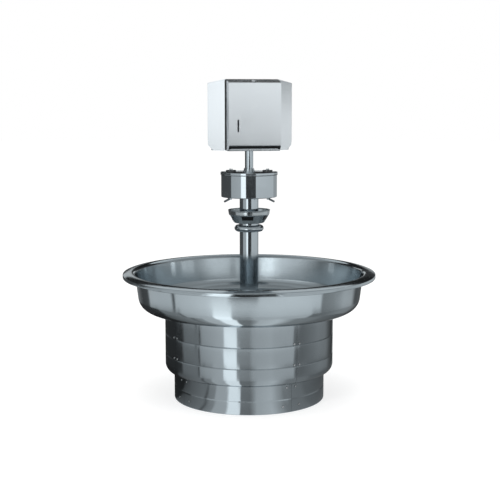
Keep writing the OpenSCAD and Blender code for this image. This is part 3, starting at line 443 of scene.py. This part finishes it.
def pan_head():
    """One screw head, standing up from the origin: a cross recess in a domed top."""
    bm = bmesh.new()
    bmesh.ops.create_grid(bm, x_segments=5, y_segments=5, size=RECESS_GRID * SCREW_R * MM)
    slots = []
    for face in bm.faces:
        middle = face.calc_center_median()
        on_cross = min(abs(middle.x), abs(middle.y)) < RECESS_HALF * SCREW_R * MM
        if on_cross and middle.length < RECESS_REACH * SCREW_R * MM:
            slots.append(face)
    top = [edge for edge in bm.edges if edge.is_boundary]
    rim = bmesh.ops.create_circle(bm, segments=HEAD_SIDES, radius=DOME_SHARE * SCREW_R * MM)["verts"]
    ring = [edge for edge in bm.edges if edge.verts[0] in rim and edge.verts[1] in rim]
    bmesh.ops.rotate(bm, verts=rim, cent=(0, 0, 0), matrix=Matrix.Rotation(radians(45), 3, "Z"))
    bmesh.ops.bridge_loops(bm, edges=top + ring)
    bmesh.ops.translate(bm, verts=bm.verts[:], vec=(0, 0, SCREW_H * MM))
    for share, drop in ((0.92, 0.4), (1.0, 0.9), (1.0, SCREW_H)):
        outer = bmesh.ops.extrude_edge_only(bm, edges=ring)["geom"]
        verts = [part for part in outer if isinstance(part, bmesh.types.BMVert)]
        ring = [part for part in outer if isinstance(part, bmesh.types.BMEdge)]
        for vert in verts:
            spread = share * SCREW_R * MM / vert.co.xy.length
            vert.co = (vert.co.x * spread, vert.co.y * spread, (SCREW_H - drop) * MM)
    bmesh.ops.holes_fill(bm, edges=ring, sides=0)
    sunk = bmesh.ops.extrude_face_region(bm, geom=slots)["geom"]
    bmesh.ops.delete(bm, geom=slots, context="FACES")
    bmesh.ops.translate(bm, verts=[part for part in sunk if isinstance(part, bmesh.types.BMVert)],
                        vec=(0, 0, -RECESS_DEEP * MM))
    bmesh.ops.recalc_face_normals(bm, faces=bm.faces[:])
    return bm


def copies_at(single, places):
    """A bmesh of copies of a small one, one at each matrix. The small one is used up."""
    mesh = bpy.data.meshes.new("single")
    single.to_mesh(mesh)
    single.free()
    bm = bmesh.new()
    for place in places:
        before = set(bm.verts)
        bm.from_mesh(mesh)
        bmesh.ops.transform(bm, matrix=place, verts=[vert for vert in bm.verts if vert not in before])
    bpy.data.meshes.remove(mesh)
    return bm


def beside_seams(radius, rows):
    """Places of the heads on a round panel: a row is its height and its distance from the seam."""
    places = []
    for i in range(4):
        for height, side in rows:
            for hand in (-1, 1):
                turn = radians(SEAM_TURN - 90 + 90 * i) + hand * asin(side / radius)
                out = Matrix.Translation(((radius + SCREW_LIFT) * MM, 0, height * MM))
                places.append(Matrix.Rotation(turn, 4, "Z") @ out @ Matrix.Rotation(pi / 2, 4, "Y"))
    return places


screw_steel = satin_steel("bright screw steel", "#F2F4F5", 0.30, "round", 0.5, stretch=0.2)
washer_nylon = plain_finish("black washer nylon", "#14181A", 0.45)
for name, radius, rows in (("skirt_screws", SKIRT_R, SKIRT_SCREWS), ("base_screws", BASE_R, BASE_SCREWS)):
    places = beside_seams(radius, rows)
    screws = new_object(name + "_heads", copies_at(pan_head(), places))
    fit(screws, screw_steel, "fountain", "screw_steel", name)
    washer = bmesh.new()
    bmesh.ops.create_cone(washer, cap_ends=True, segments=HEAD_SIDES, radius1=WASHER_R * MM,
                          radius2=(WASHER_R - WASHER_BEVEL) * MM, depth=WASHER_H * MM)
    washers = new_object(name + "_washers", copies_at(washer, places))
    fit(washers, washer_nylon, "fountain", "screw_steel")
dress(screw_steel, "lever_pins", "hinge_pins")

# Bowl: one stainless sheet spun to a deep round basin with a rolled rim and a
# turned-in hem, and a hole cut for the drain. Satin inside and out with the lay
# round it, so lights stay crisp round the rim and blur up and down the wall.
BOWL_T = 2
FLOOR_Z, FLAT_R, HOLE_R = 470.5, 260, 51.1
FLAT_EASE, FLAT_RISE, HOLE_LAND = 4, 0.3, 2
FOOT_R, FOOT_Z, WALL_LEAN = 75, 562.5, 7
CROWN_R, CROWN_X, CROWN_Z = 22, 635.8, 693.5
ARCH_R, ARCH_TURN, ROLL_R = 110, 24, 4
HEM_R, HEM_Z, HEM_L = 3.5, 667.5, 10
BOWL_STEPS = 256
DRAIN_R, DRAIN_X, DRAIN_CUT, DRAIN_SIDES = 30, 165, 20, 48


def cut_out(piece, tool):
    """Cuts the tool's shape out of a piece, and clears the tool away."""
    cut = piece.modifiers.new("cut", "BOOLEAN")
    cut.object = tool
    cut.solver = "EXACT"
    settled(piece)
    bpy.data.objects.remove(tool)


bowl_steel = satin_steel("spun bowl steel", "#BCC5CA", 0.14, "round", 1.2, stretch=0.85)
lean = radians(WALL_LEAN)
crown_c = (CROWN_X, CROWN_Z - CROWN_R)
foot_c = (CROWN_X - (CROWN_R + FOOT_R) / cos(lean) - (crown_c[1] - FOOT_Z) * tan(lean), FOOT_Z)
arch_c = (CROWN_X, CROWN_Z - ARCH_R)
roll_c = (arch_c[0] + (ARCH_R - ROLL_R) * sin(radians(ARCH_TURN)),
          arch_c[1] + (ARCH_R - ROLL_R) * cos(radians(ARCH_TURN)))
hem_c = (roll_c[0] + ROLL_R - HEM_R, HEM_Z)


def wall_to_hem(depth):
    """Outline of the bowl's wall, rim and hem, on its top face or a depth in millimetres under it."""
    outline = arc(foot_c, FOOT_R + depth, -90, -WALL_LEAN, 24)
    outline += arc(crown_c, CROWN_R - depth, 180 - WALL_LEAN, 90, 20)
    outline += arc(arch_c, ARCH_R - depth, 90, 90 - ARCH_TURN, 10)[1:]
    outline += arc(roll_c, ROLL_R - depth, 90 - ARCH_TURN, 0, 10)[1:]
    outline += arc(hem_c, HEM_R - depth, 0, -90, 8)
    return outline + [(hem_c[0] - HEM_L, hem_c[1] - HEM_R + depth)]


top_face = [(HOLE_R, FLOOR_Z), (HOLE_R + HOLE_LAND, FLOOR_Z), (FLAT_R - FLAT_EASE, FLOOR_Z),
            (FLAT_R + FLAT_EASE, FLOOR_Z + FLAT_RISE)] + wall_to_hem(0)
under_z = FLOOR_Z - BOWL_T
under_face = [(HOLE_R, under_z), (HOLE_R + HOLE_LAND, under_z), (FLAT_R, under_z)] + wall_to_hem(BOWL_T)
bowl = new_object("spun_bowl", turned(top_face + under_face[::-1], BOWL_STEPS, closed=True))
bm = bmesh.new()
bmesh.ops.create_cone(bm, cap_ends=True, segments=DRAIN_SIDES, radius1=DRAIN_R * MM,
                      radius2=DRAIN_R * MM, depth=DRAIN_CUT * MM)
at_drain = Matrix.Rotation(radians(SEAM_TURN), 4, "Z") @ Matrix.Translation((DRAIN_X * MM, 0, FLOOR_Z * MM))
bmesh.ops.transform(bm, matrix=at_drain, verts=bm.verts[:])
cut_out(bowl, new_object("drain_cutter", bm))
fit(bowl, bowl_steel, "fountain", "bowl_steel", "bowl")

# Drain and plumbing: chromed waste, cast brass valves and a copper riser, joined up
# inside the pedestal, so that only the strainer shows. The chrome is a clear mirror,
# the castings are duller, and the enamels and the coated box have one flat colour.
waste_chrome = plain_finish("chromed waste brass", "#C9CCCE", 0.12, metallic=1.0)
dress(waste_chrome, "drain_strainer", "drain_body", "waste_trap")
valve_brass = plain_finish("cast valve brass", "#B9954F", 0.34, metallic=1.0)
dress(valve_brass, "stop_valves", "mixing_valve")
dress(plain_finish("red enamel", "#A5241D", 0.30, coat=0.3), "hot_stop_handle")
dress(plain_finish("blue enamel", "#1F4E94", 0.30, coat=0.3), "cold_stop_handle")
dress(plain_finish("black glass-filled nylon", "#1B1C1E", 0.50), "solenoid_valve")
dress(plain_finish("drawn copper pipe", "#C27A4E", 0.28, metallic=1.0), "supply_riser")
dress(plain_finish("powder coated steel", "#8B9093", 0.50, speckle_mm=0.8), "control_box")

# Gasket under the foot flange: black moulded rubber, clamped flat between the
# flange and the bowl. It is dull and nearly black beside the steel.
# Real rubber colour for the gasket; the same finish serves below as painted shade for the lid's ring and the
# corner strips.
black_rubber_and_shade = plain_finish("dark rubber and painted shade", "#202224", 0.65)
dress(black_rubber_and_shade, "foot_gasket")

# Column: stainless tube in lengths that plug together, with a torus ring that sprays
# the water and a small blackened screw that locks the joint. The tube is polished, so
# it mirrors the studio in clear upright stripes.
polished_steel = satin_steel("polished tube steel", "#C4CCD1", 0.07, "round", 0.8, stretch=0.9)
dress(polished_steel, "foot_tube", "column_tube", "spray_ring", "upper_tube", "post")
dress(plain_finish("blackened screw steel", "#26292B", 0.40, metallic=1.0), "joint_screw")

# Sensor cup: spun stainless sheet with a rounded foot, a slope, a flared band and a
# rolled lip. Smoked acrylic panes are clamped behind five windows in the slope. The
# satin softens every edge that it mirrors, and the panes look black.
CUP_Z, CUP_SEAT_R, CUP_T = 954, 58, 2
CUP_CORNER_X, CUP_CORNER_R, CUP_LEAN = 73.5, 12, 30
CUP_WALL = [(13, 88.6), (14, 89.2), (20, 93), (27, 97.2), (35, 102), (42, 106.2), (45, 108), (46, 108.8),
            (47, 109.4), (48, 109.7), (49, 109.9), (64, 111.9), (66, 112.2)]
CUP_R, CUP_H, LIP_R, LIP_START, LIP_END = 114, 71, 2.2, -8, 190
WINDOW_N, WINDOW_ARC, WINDOW_TURN = 5, 36, -5
WINDOW_LOW, WINDOW_HIGH = 20, 42
PANE_T, PANE_BACK, PANE_LAP = 1.5, 1.2, 1.5
CUP_STEPS, PANE_STEPS = 160, 16

cup_outline = [(HOLE_R, CUP_Z), (CUP_SEAT_R, CUP_Z)]
cup_outline += arc((CUP_CORNER_X, CUP_Z + CUP_CORNER_R), CUP_CORNER_R, -90, -CUP_LEAN, 8)
cup_outline += [(r, CUP_Z + h) for h, r in CUP_WALL]
cup_outline += arc((CUP_R - LIP_R, CUP_Z + CUP_H - LIP_R), LIP_R, LIP_START, LIP_END, 10)
bm = turned(cup_outline, CUP_STEPS, start=WINDOW_TURN - WINDOW_ARC / 2)
openings = []
for face in bm.faces:
    middle = face.calc_center_median()
    turn = (degrees(atan2(middle.x, -middle.y)) - WINDOW_TURN + WINDOW_ARC / 2) % (360 / WINDOW_N)
    if turn < WINDOW_ARC and WINDOW_LOW < middle.z / MM - CUP_Z < WINDOW_HIGH:
        openings.append(face)
bmesh.ops.delete(bm, geom=openings, context="FACES")
cup = sheet_metal(new_object("spun_cup", bm), CUP_T)
cup_steel = satin_steel("satin cup steel", "#C6CDD0", 0.20, "round", 0.8, stretch=0.6)
fit(cup, cup_steel, "fountain", "polished_steel", "sensor_cup")
pane_outline = [(r - CUP_T - PANE_BACK, CUP_Z + h) for h, r in CUP_WALL
                if WINDOW_LOW <= h <= WINDOW_HIGH]
pane = turned(pane_outline, PANE_STEPS, start=WINDOW_TURN - WINDOW_ARC / 2 - PANE_LAP,
              angle=WINDOW_ARC + 2 * PANE_LAP)
at_windows = [Matrix.Rotation(radians(360 / WINDOW_N * i), 4, "Z") for i in range(WINDOW_N)]
panes = sheet_metal(new_object("smoked_panes", copies_at(pane, at_windows)), PANE_T)
fit(panes, plain_finish("smoked acrylic", "#030404", 0.30), "fountain", "window_plastic", "sensor_windows")

# Soap drum: stainless sheet, rolled and polished, with a rounded lower corner, and
# a loose lid whose edge is turned down over the drum and hemmed. Near a mirror, with
# hard-edged bands of black and white.
DRUM_R, DRUM_Z, DRUM_TOP, DRUM_T, DRUM_CORNER = 150, 1094, 1227, 1.5, 5
DRUM_FLAT = 20
LID_R, LID_TOP, LID_EDGE, LID_BEND, LID_HEM = 154.3, 1228.8, 14, 1.4, 1
LID_T, LID_BORE, LID_STEP_R, LID_STEP = 1.2, 0.5, 140, 0.6
POST_R = 22.5
DRUM_STEPS = 160

soap_steel = satin_steel("polished soap steel", "#C6CED3", 0.07, "round", 0.8, stretch=0.9)
drum_outline = [(0, DRUM_Z), (DRUM_R - DRUM_FLAT, DRUM_Z)]
drum_outline += arc((DRUM_R - DRUM_CORNER, DRUM_Z + DRUM_CORNER), DRUM_CORNER, -90, 0, 8)
drum_outline += [(DRUM_R, DRUM_TOP)]
drum = sheet_metal(new_object("rolled_drum", turned(drum_outline, DRUM_STEPS)), DRUM_T)
fit(drum, soap_steel, "fountain", "soap_steel", "soap_drum")
lid_wall, lid_low, lid_face = LID_R - LID_HEM, LID_TOP - LID_EDGE, LID_TOP - LID_STEP
lid_outline = [(POST_R + LID_BORE, LID_TOP), (LID_STEP_R - 4, LID_TOP)]
lid_outline += [(LID_STEP_R - 2, LID_TOP - LID_STEP / 2), (LID_STEP_R, lid_face), (LID_STEP_R + 3, lid_face)]
lid_outline += arc((lid_wall - LID_BEND, lid_face - LID_BEND), LID_BEND, 90, 0, 8)
# Points close to the bend and the hem keep the long face between them flat.
lid_outline += [(lid_wall, lid_face - LID_BEND - 0.8), (lid_wall, lid_low + 3), (lid_wall, lid_low + 2.5)]
lid_outline += [(lid_wall + 0.2, lid_low + 2)] + arc((lid_wall, lid_low + LID_HEM), LID_HEM, 40, -120, 10)
lid = sheet_metal(new_object("drum_cover", turned(lid_outline, DRUM_STEPS)), LID_T)
fit(lid, soap_steel, "fountain", "soap_steel", "drum_lid")

# Lid shade ring: a ring of dark rubber round the drum, under the lid's hem, painted shade
# for the dark line under the hem. Dull and dark, it shows as a thin line that parts the lid from the drum.
SHADE_RING_T, SHADE_RING_H, SHADE_RING_SHOWS, SHADE_RING_BEVEL, SHADE_RING_TAPER, SHADE_RING_GAP = 2.8, 6, 2.2, 0.8, 0.6, 0.1

shade_ring_in, shade_ring_out, shade_ring_low = DRUM_R + SHADE_RING_GAP, DRUM_R + SHADE_RING_T, lid_low - SHADE_RING_SHOWS
shade_ring_outline = [(shade_ring_in, shade_ring_low), (shade_ring_out - SHADE_RING_BEVEL, shade_ring_low), (shade_ring_out, shade_ring_low + SHADE_RING_BEVEL),
                (shade_ring_out - SHADE_RING_TAPER, shade_ring_low + SHADE_RING_H), (shade_ring_in, shade_ring_low + SHADE_RING_H)]
# The dark of this ring is painted shade under the hem.
shade_ring = new_object("lid_shade_ring", turned(shade_ring_outline, DRUM_STEPS, closed=True))
fit(shade_ring, black_rubber_and_shade, "fountain", "gasket_rubber")

# Filler caps: black discs with a chamfered edge and a shallow groove, and
# two round steel lugs to turn them by. They lock in the lid by a quarter turn. The
# discs' black with a soft shine is a painted dark reflection, where polished caps would mirror dark
# surroundings, and the lugs are small bright points on it.
SOAP_PCR, SOAP_TURN = 112, 1
CAP_R, CAP_H, CAP_GAP, CAP_SIDES = 27, 19, 0.3, 48
LUG_R, LUG_H, LUG_SIDE, LUG_ROOT, LUG_SIDES = 4.5, 7, 10, 1, 24

cap_steel = satin_steel("polished cap steel", "#C6CDD1", 0.20, "round", 0.8, stretch=0.2)
# Painted reflection: the near-black stands in for the dark surroundings that polished caps mirror.
dark_reflection_cap_nylon = plain_finish("cap nylon, painted dark reflection", "#191D20", 0.25, coat=0.5)
cap_low = LID_TOP + CAP_GAP
cap_top = cap_low + CAP_H - LUG_H
lug_top = cap_low + CAP_H
cap_outline = [(0, cap_low), (CAP_R - 1, cap_low), (CAP_R, cap_low + 0.8), (CAP_R, cap_top - 1.4),
               (CAP_R - 0.4, cap_top - 0.5), (CAP_R - 1.4, cap_top), (CAP_R - 4, cap_top),
               (CAP_R - 4.6, cap_top - 0.5), (CAP_R - 5.4, cap_top - 0.5), (CAP_R - 6, cap_top), (0, cap_top)]
lug_outline = [(0, cap_top - LUG_ROOT), (LUG_R, cap_top - LUG_ROOT), (LUG_R, lug_top - 1.2),
               (LUG_R - 0.4, lug_top - 0.4), (LUG_R - 1.2, lug_top), (0, lug_top)]
for i in (1, 2, 3):
    swing = Matrix.Rotation(radians(SOAP_TURN - 30 + 120 * (i - 1)), 4, "Z")
    at_cap = swing @ Matrix.Translation((SOAP_PCR * MM, 0, 0))
    cover = new_object(f"filler_cover_{i}", copies_at(turned(cap_outline, CAP_SIDES), [at_cap]))
    fit(cover, dark_reflection_cap_nylon, f"cap_{i}", "soap_steel", f"filler_cap_{i}")
    at_lugs = [at_cap @ Matrix.Translation((0, side * MM, 0)) for side in (-LUG_SIDE, LUG_SIDE)]
    lugs = new_object(f"cap_lugs_{i}", copies_at(turned(lug_outline, LUG_SIDES), at_lugs))
    fit(lugs, cap_steel, f"cap_{i}", "soap_steel")

# Soap valves: stainless bodies screwed into the drum from below, each with a flat
# push lever on a pin. Tumbling has rounded the levers' edges. The levers are a little duller
# than the bodies, and their darker colour is painted shade.
LEVER_ROUND, LEVER_GROW = 1.2, 1.5


def softened(name, node, width, grow):
    """A copy of a CAD node's shape with its sharp edges rounded over by a small bevel,
    and its faces moved out a little for a part that is thicker there."""
    bm = bmesh.new()
    bm.from_mesh(nodes[node].data)
    bmesh.ops.remove_doubles(bm, verts=bm.verts[:], dist=0.002 * MM)
    bmesh.ops.dissolve_limit(bm, angle_limit=radians(1), verts=bm.verts[:], edges=bm.edges[:])
    piece = new_object(name, bm)
    swell = piece.modifiers.new("swell", "DISPLACE")
    swell.strength = grow * MM
    swell.mid_level = 0
    edge = piece.modifiers.new("rounded edges", "BEVEL")
    edge.width = width * MM
    edge.segments = 2
    edge.limit_method = "ANGLE"
    edge.angle_limit = radians(30)
    edge.use_clamp_overlap = True
    edge.harden_normals = True
    return piece


dress(cap_steel, "soap_valve_1", "soap_valve_2", "soap_valve_3")
# The levers' darker colour is painted shade.
lever_shade_steel = satin_steel("lever steel, painted shade", "#747A7E", 0.25, "round", 0.8, stretch=0.2)
for i in (1, 2, 3):
    lever = softened(f"push_lever_{i}", f"soap_lever_{i}", LEVER_ROUND, LEVER_GROW)
    fit(lever, lever_shade_steel, f"lever_{i}", "soap_steel", f"soap_lever_{i}")

# Post collar: turned and polished stainless, a flange that rests on the lid with a
# fillet up to the sleeve that holds the post. It mirrors like the tube in it.
COLLAR_FOOT, COLLAR_WALL, COLLAR_H, COLLAR_GAP = 11, 6, 16, 0.3
FLANGE_H, FLANGE_ROUND, FILLET_R, SLEEVE_ROUND, SUPPORT = 2, 1, 4, 2, 0.6

collar_low = LID_TOP + COLLAR_GAP
collar_top = collar_low + COLLAR_H
fillet_z = collar_low + FLANGE_H + FLANGE_ROUND + FILLET_R
foot_r = POST_R + COLLAR_FOOT
wall_r = POST_R + COLLAR_WALL
collar_outline = [(POST_R + COLLAR_GAP, collar_low), (foot_r, collar_low), (foot_r, collar_low + FLANGE_H)]
collar_outline += arc((foot_r - FLANGE_ROUND, collar_low + FLANGE_H), FLANGE_ROUND, 0, 90, 4)
collar_outline += arc((wall_r + FILLET_R, fillet_z), FILLET_R, -90, -180, 6)
collar_outline += [(wall_r, fillet_z + SUPPORT), (wall_r, collar_top - SLEEVE_ROUND - SUPPORT)]
collar_outline += arc((wall_r - SLEEVE_ROUND, collar_top - SLEEVE_ROUND), SLEEVE_ROUND, 0, 90, 5)
collar_outline += [(POST_R + COLLAR_GAP, collar_top)]
collar = new_object("turned_collar", turned(collar_outline, 64, closed=True))
fit(collar, polished_steel, "fountain", "polished_steel", "post_collar")

# Towel dispensers: folded stainless cabinets with drop-down doors, in an even satin
# that looks nearly white. In each, a black plate behind the towel slot is painted shade for
# the dark inside. The bracket is coated black and round rubber strips fill the corners between them, both
# painted shade for the dark gaps between the cabinets.
DISP_TURN, DISP_HALF, DISP_Z = 10, 137.3, 1345.5
DISP_FRONT, CHIN_X = 182.5, 150.5
TRAY_LIP_R, TRAY_LIP_T, TRAY_LIP_OUT, TRAY_LIP_UP, TRAY_LIP_SHORT = 6, 1.2, 2, 0.2, 3
# Shade plate: a black sheet inside each cabinet, painted shade for the dark inside behind the towel slot.
SHADE_PLATE_BACK, SHADE_PLATE_H, SHADE_PLATE_T, SHADE_PLATE_SHORT, SHADE_PLATE_EDGE, SHADE_PLATE_Z = 38, 60, 1, 6, 1, 3
# Corner strips: dark rounds between the cabinets, painted shade for the gaps there.
STRIP_PLACE, STRIP_R, STRIP_LOW, STRIP_TOP, STRIP_SIDES = 160.5, 4.5, 1349, 1714, 24


def folded(outline, half, turn):
    """A sheet folded along its width from its outline, (distance from the axis, height) points
    in millimetres, half its width to each side and turned round the axis."""
    bm = bmesh.new()
    verts = [bm.verts.new((x * MM, -half * MM, z * MM)) for x, z in outline]
    edges = [bm.edges.new(pair) for pair in zip(verts, verts[1:])]
    wide = bmesh.ops.extrude_edge_only(bm, edges=edges)["geom"]
    bmesh.ops.translate(bm, verts=[part for part in wide if isinstance(part, bmesh.types.BMVert)],
                        vec=(0, 2 * half * MM, 0))
    bm.normal_update()
    if sum(face.normal.x * face.calc_area() for face in bm.faces) < 0:
        bmesh.ops.reverse_faces(bm, faces=bm.faces[:])
    bmesh.ops.rotate(bm, verts=bm.verts[:], cent=(0, 0, 0), matrix=Matrix.Rotation(radians(turn), 3, "Z"))
    return bm


cabinet_steel = satin_steel("satin cabinet steel", "#F2F5F8", 0.22, "upright", 1.0, stretch=0.7, mottle=0.02)
# Its black is painted shade: the plate darkens the towel opening where there is only shadow.
shade_plate_enamel = plain_finish("painted shade black", "#0B0F12", 0.50)
lip_c = (CHIN_X + TRAY_LIP_R + TRAY_LIP_OUT, DISP_Z + TRAY_LIP_R + TRAY_LIP_UP)
lip_outline = arc(lip_c, TRAY_LIP_R, 120, -110, 14)
shade_plate_outline = [(CHIN_X - SHADE_PLATE_EDGE, DISP_Z + SHADE_PLATE_Z), (DISP_FRONT - SHADE_PLATE_BACK, DISP_Z + SHADE_PLATE_Z),
                 (DISP_FRONT - SHADE_PLATE_BACK, DISP_Z + SHADE_PLATE_H)]
for i in (1, 2, 3):
    turn = DISP_TURN - 90 + 120 * (i - 1)
    dress(cabinet_steel, f"cabinet_{i}", f"towel_door_{i}")
    lip = new_object(f"tray_lip_{i}", folded(lip_outline, DISP_HALF - TRAY_LIP_SHORT, turn))
    lip = sheet_metal(lip, TRAY_LIP_T)
    fit(lip, cabinet_steel, "fountain", "cabinet_steel")
    # The painted shade plate, folded like the lip.
    shade_plate = new_object(f"towel_shade_plate_{i}", folded(shade_plate_outline, DISP_HALF - SHADE_PLATE_SHORT, turn))
    shade_plate = sheet_metal(shade_plate, SHADE_PLATE_T)
    fit(shade_plate, shade_plate_enamel, "fountain", "box_paint")
# The bracket's black is painted shade, for the dark gaps between the cabinets.
dress(plain_finish("powder coat, painted shade black", "#15181A", 0.45), "dispenser_bracket")
# Round dark strips in the corners between the cabinets: painted shade for the dark gaps there.
bm = bmesh.new()
for i in range(3):
    swing = Matrix.Rotation(radians(DISP_TURN - 30 + 120 * i), 4, "Z")
    corner = swing @ Matrix.Translation((STRIP_PLACE * MM, 0, (STRIP_LOW + STRIP_TOP) / 2 * MM))
    bmesh.ops.create_cone(bm, cap_ends=True, segments=STRIP_SIDES, radius1=STRIP_R * MM,
                          radius2=STRIP_R * MM, depth=(STRIP_TOP - STRIP_LOW) * MM, matrix=corner)
fit(new_object("corner_shade_strips", bm), black_rubber_and_shade, "fountain", "gasket_rubber")
lock_nickel = plain_finish("satin nickel plate", "#F2F4F6", 0.45, metallic=1.0)
dress(lock_nickel, "door_lock_1", "door_lock_2", "door_lock_3")
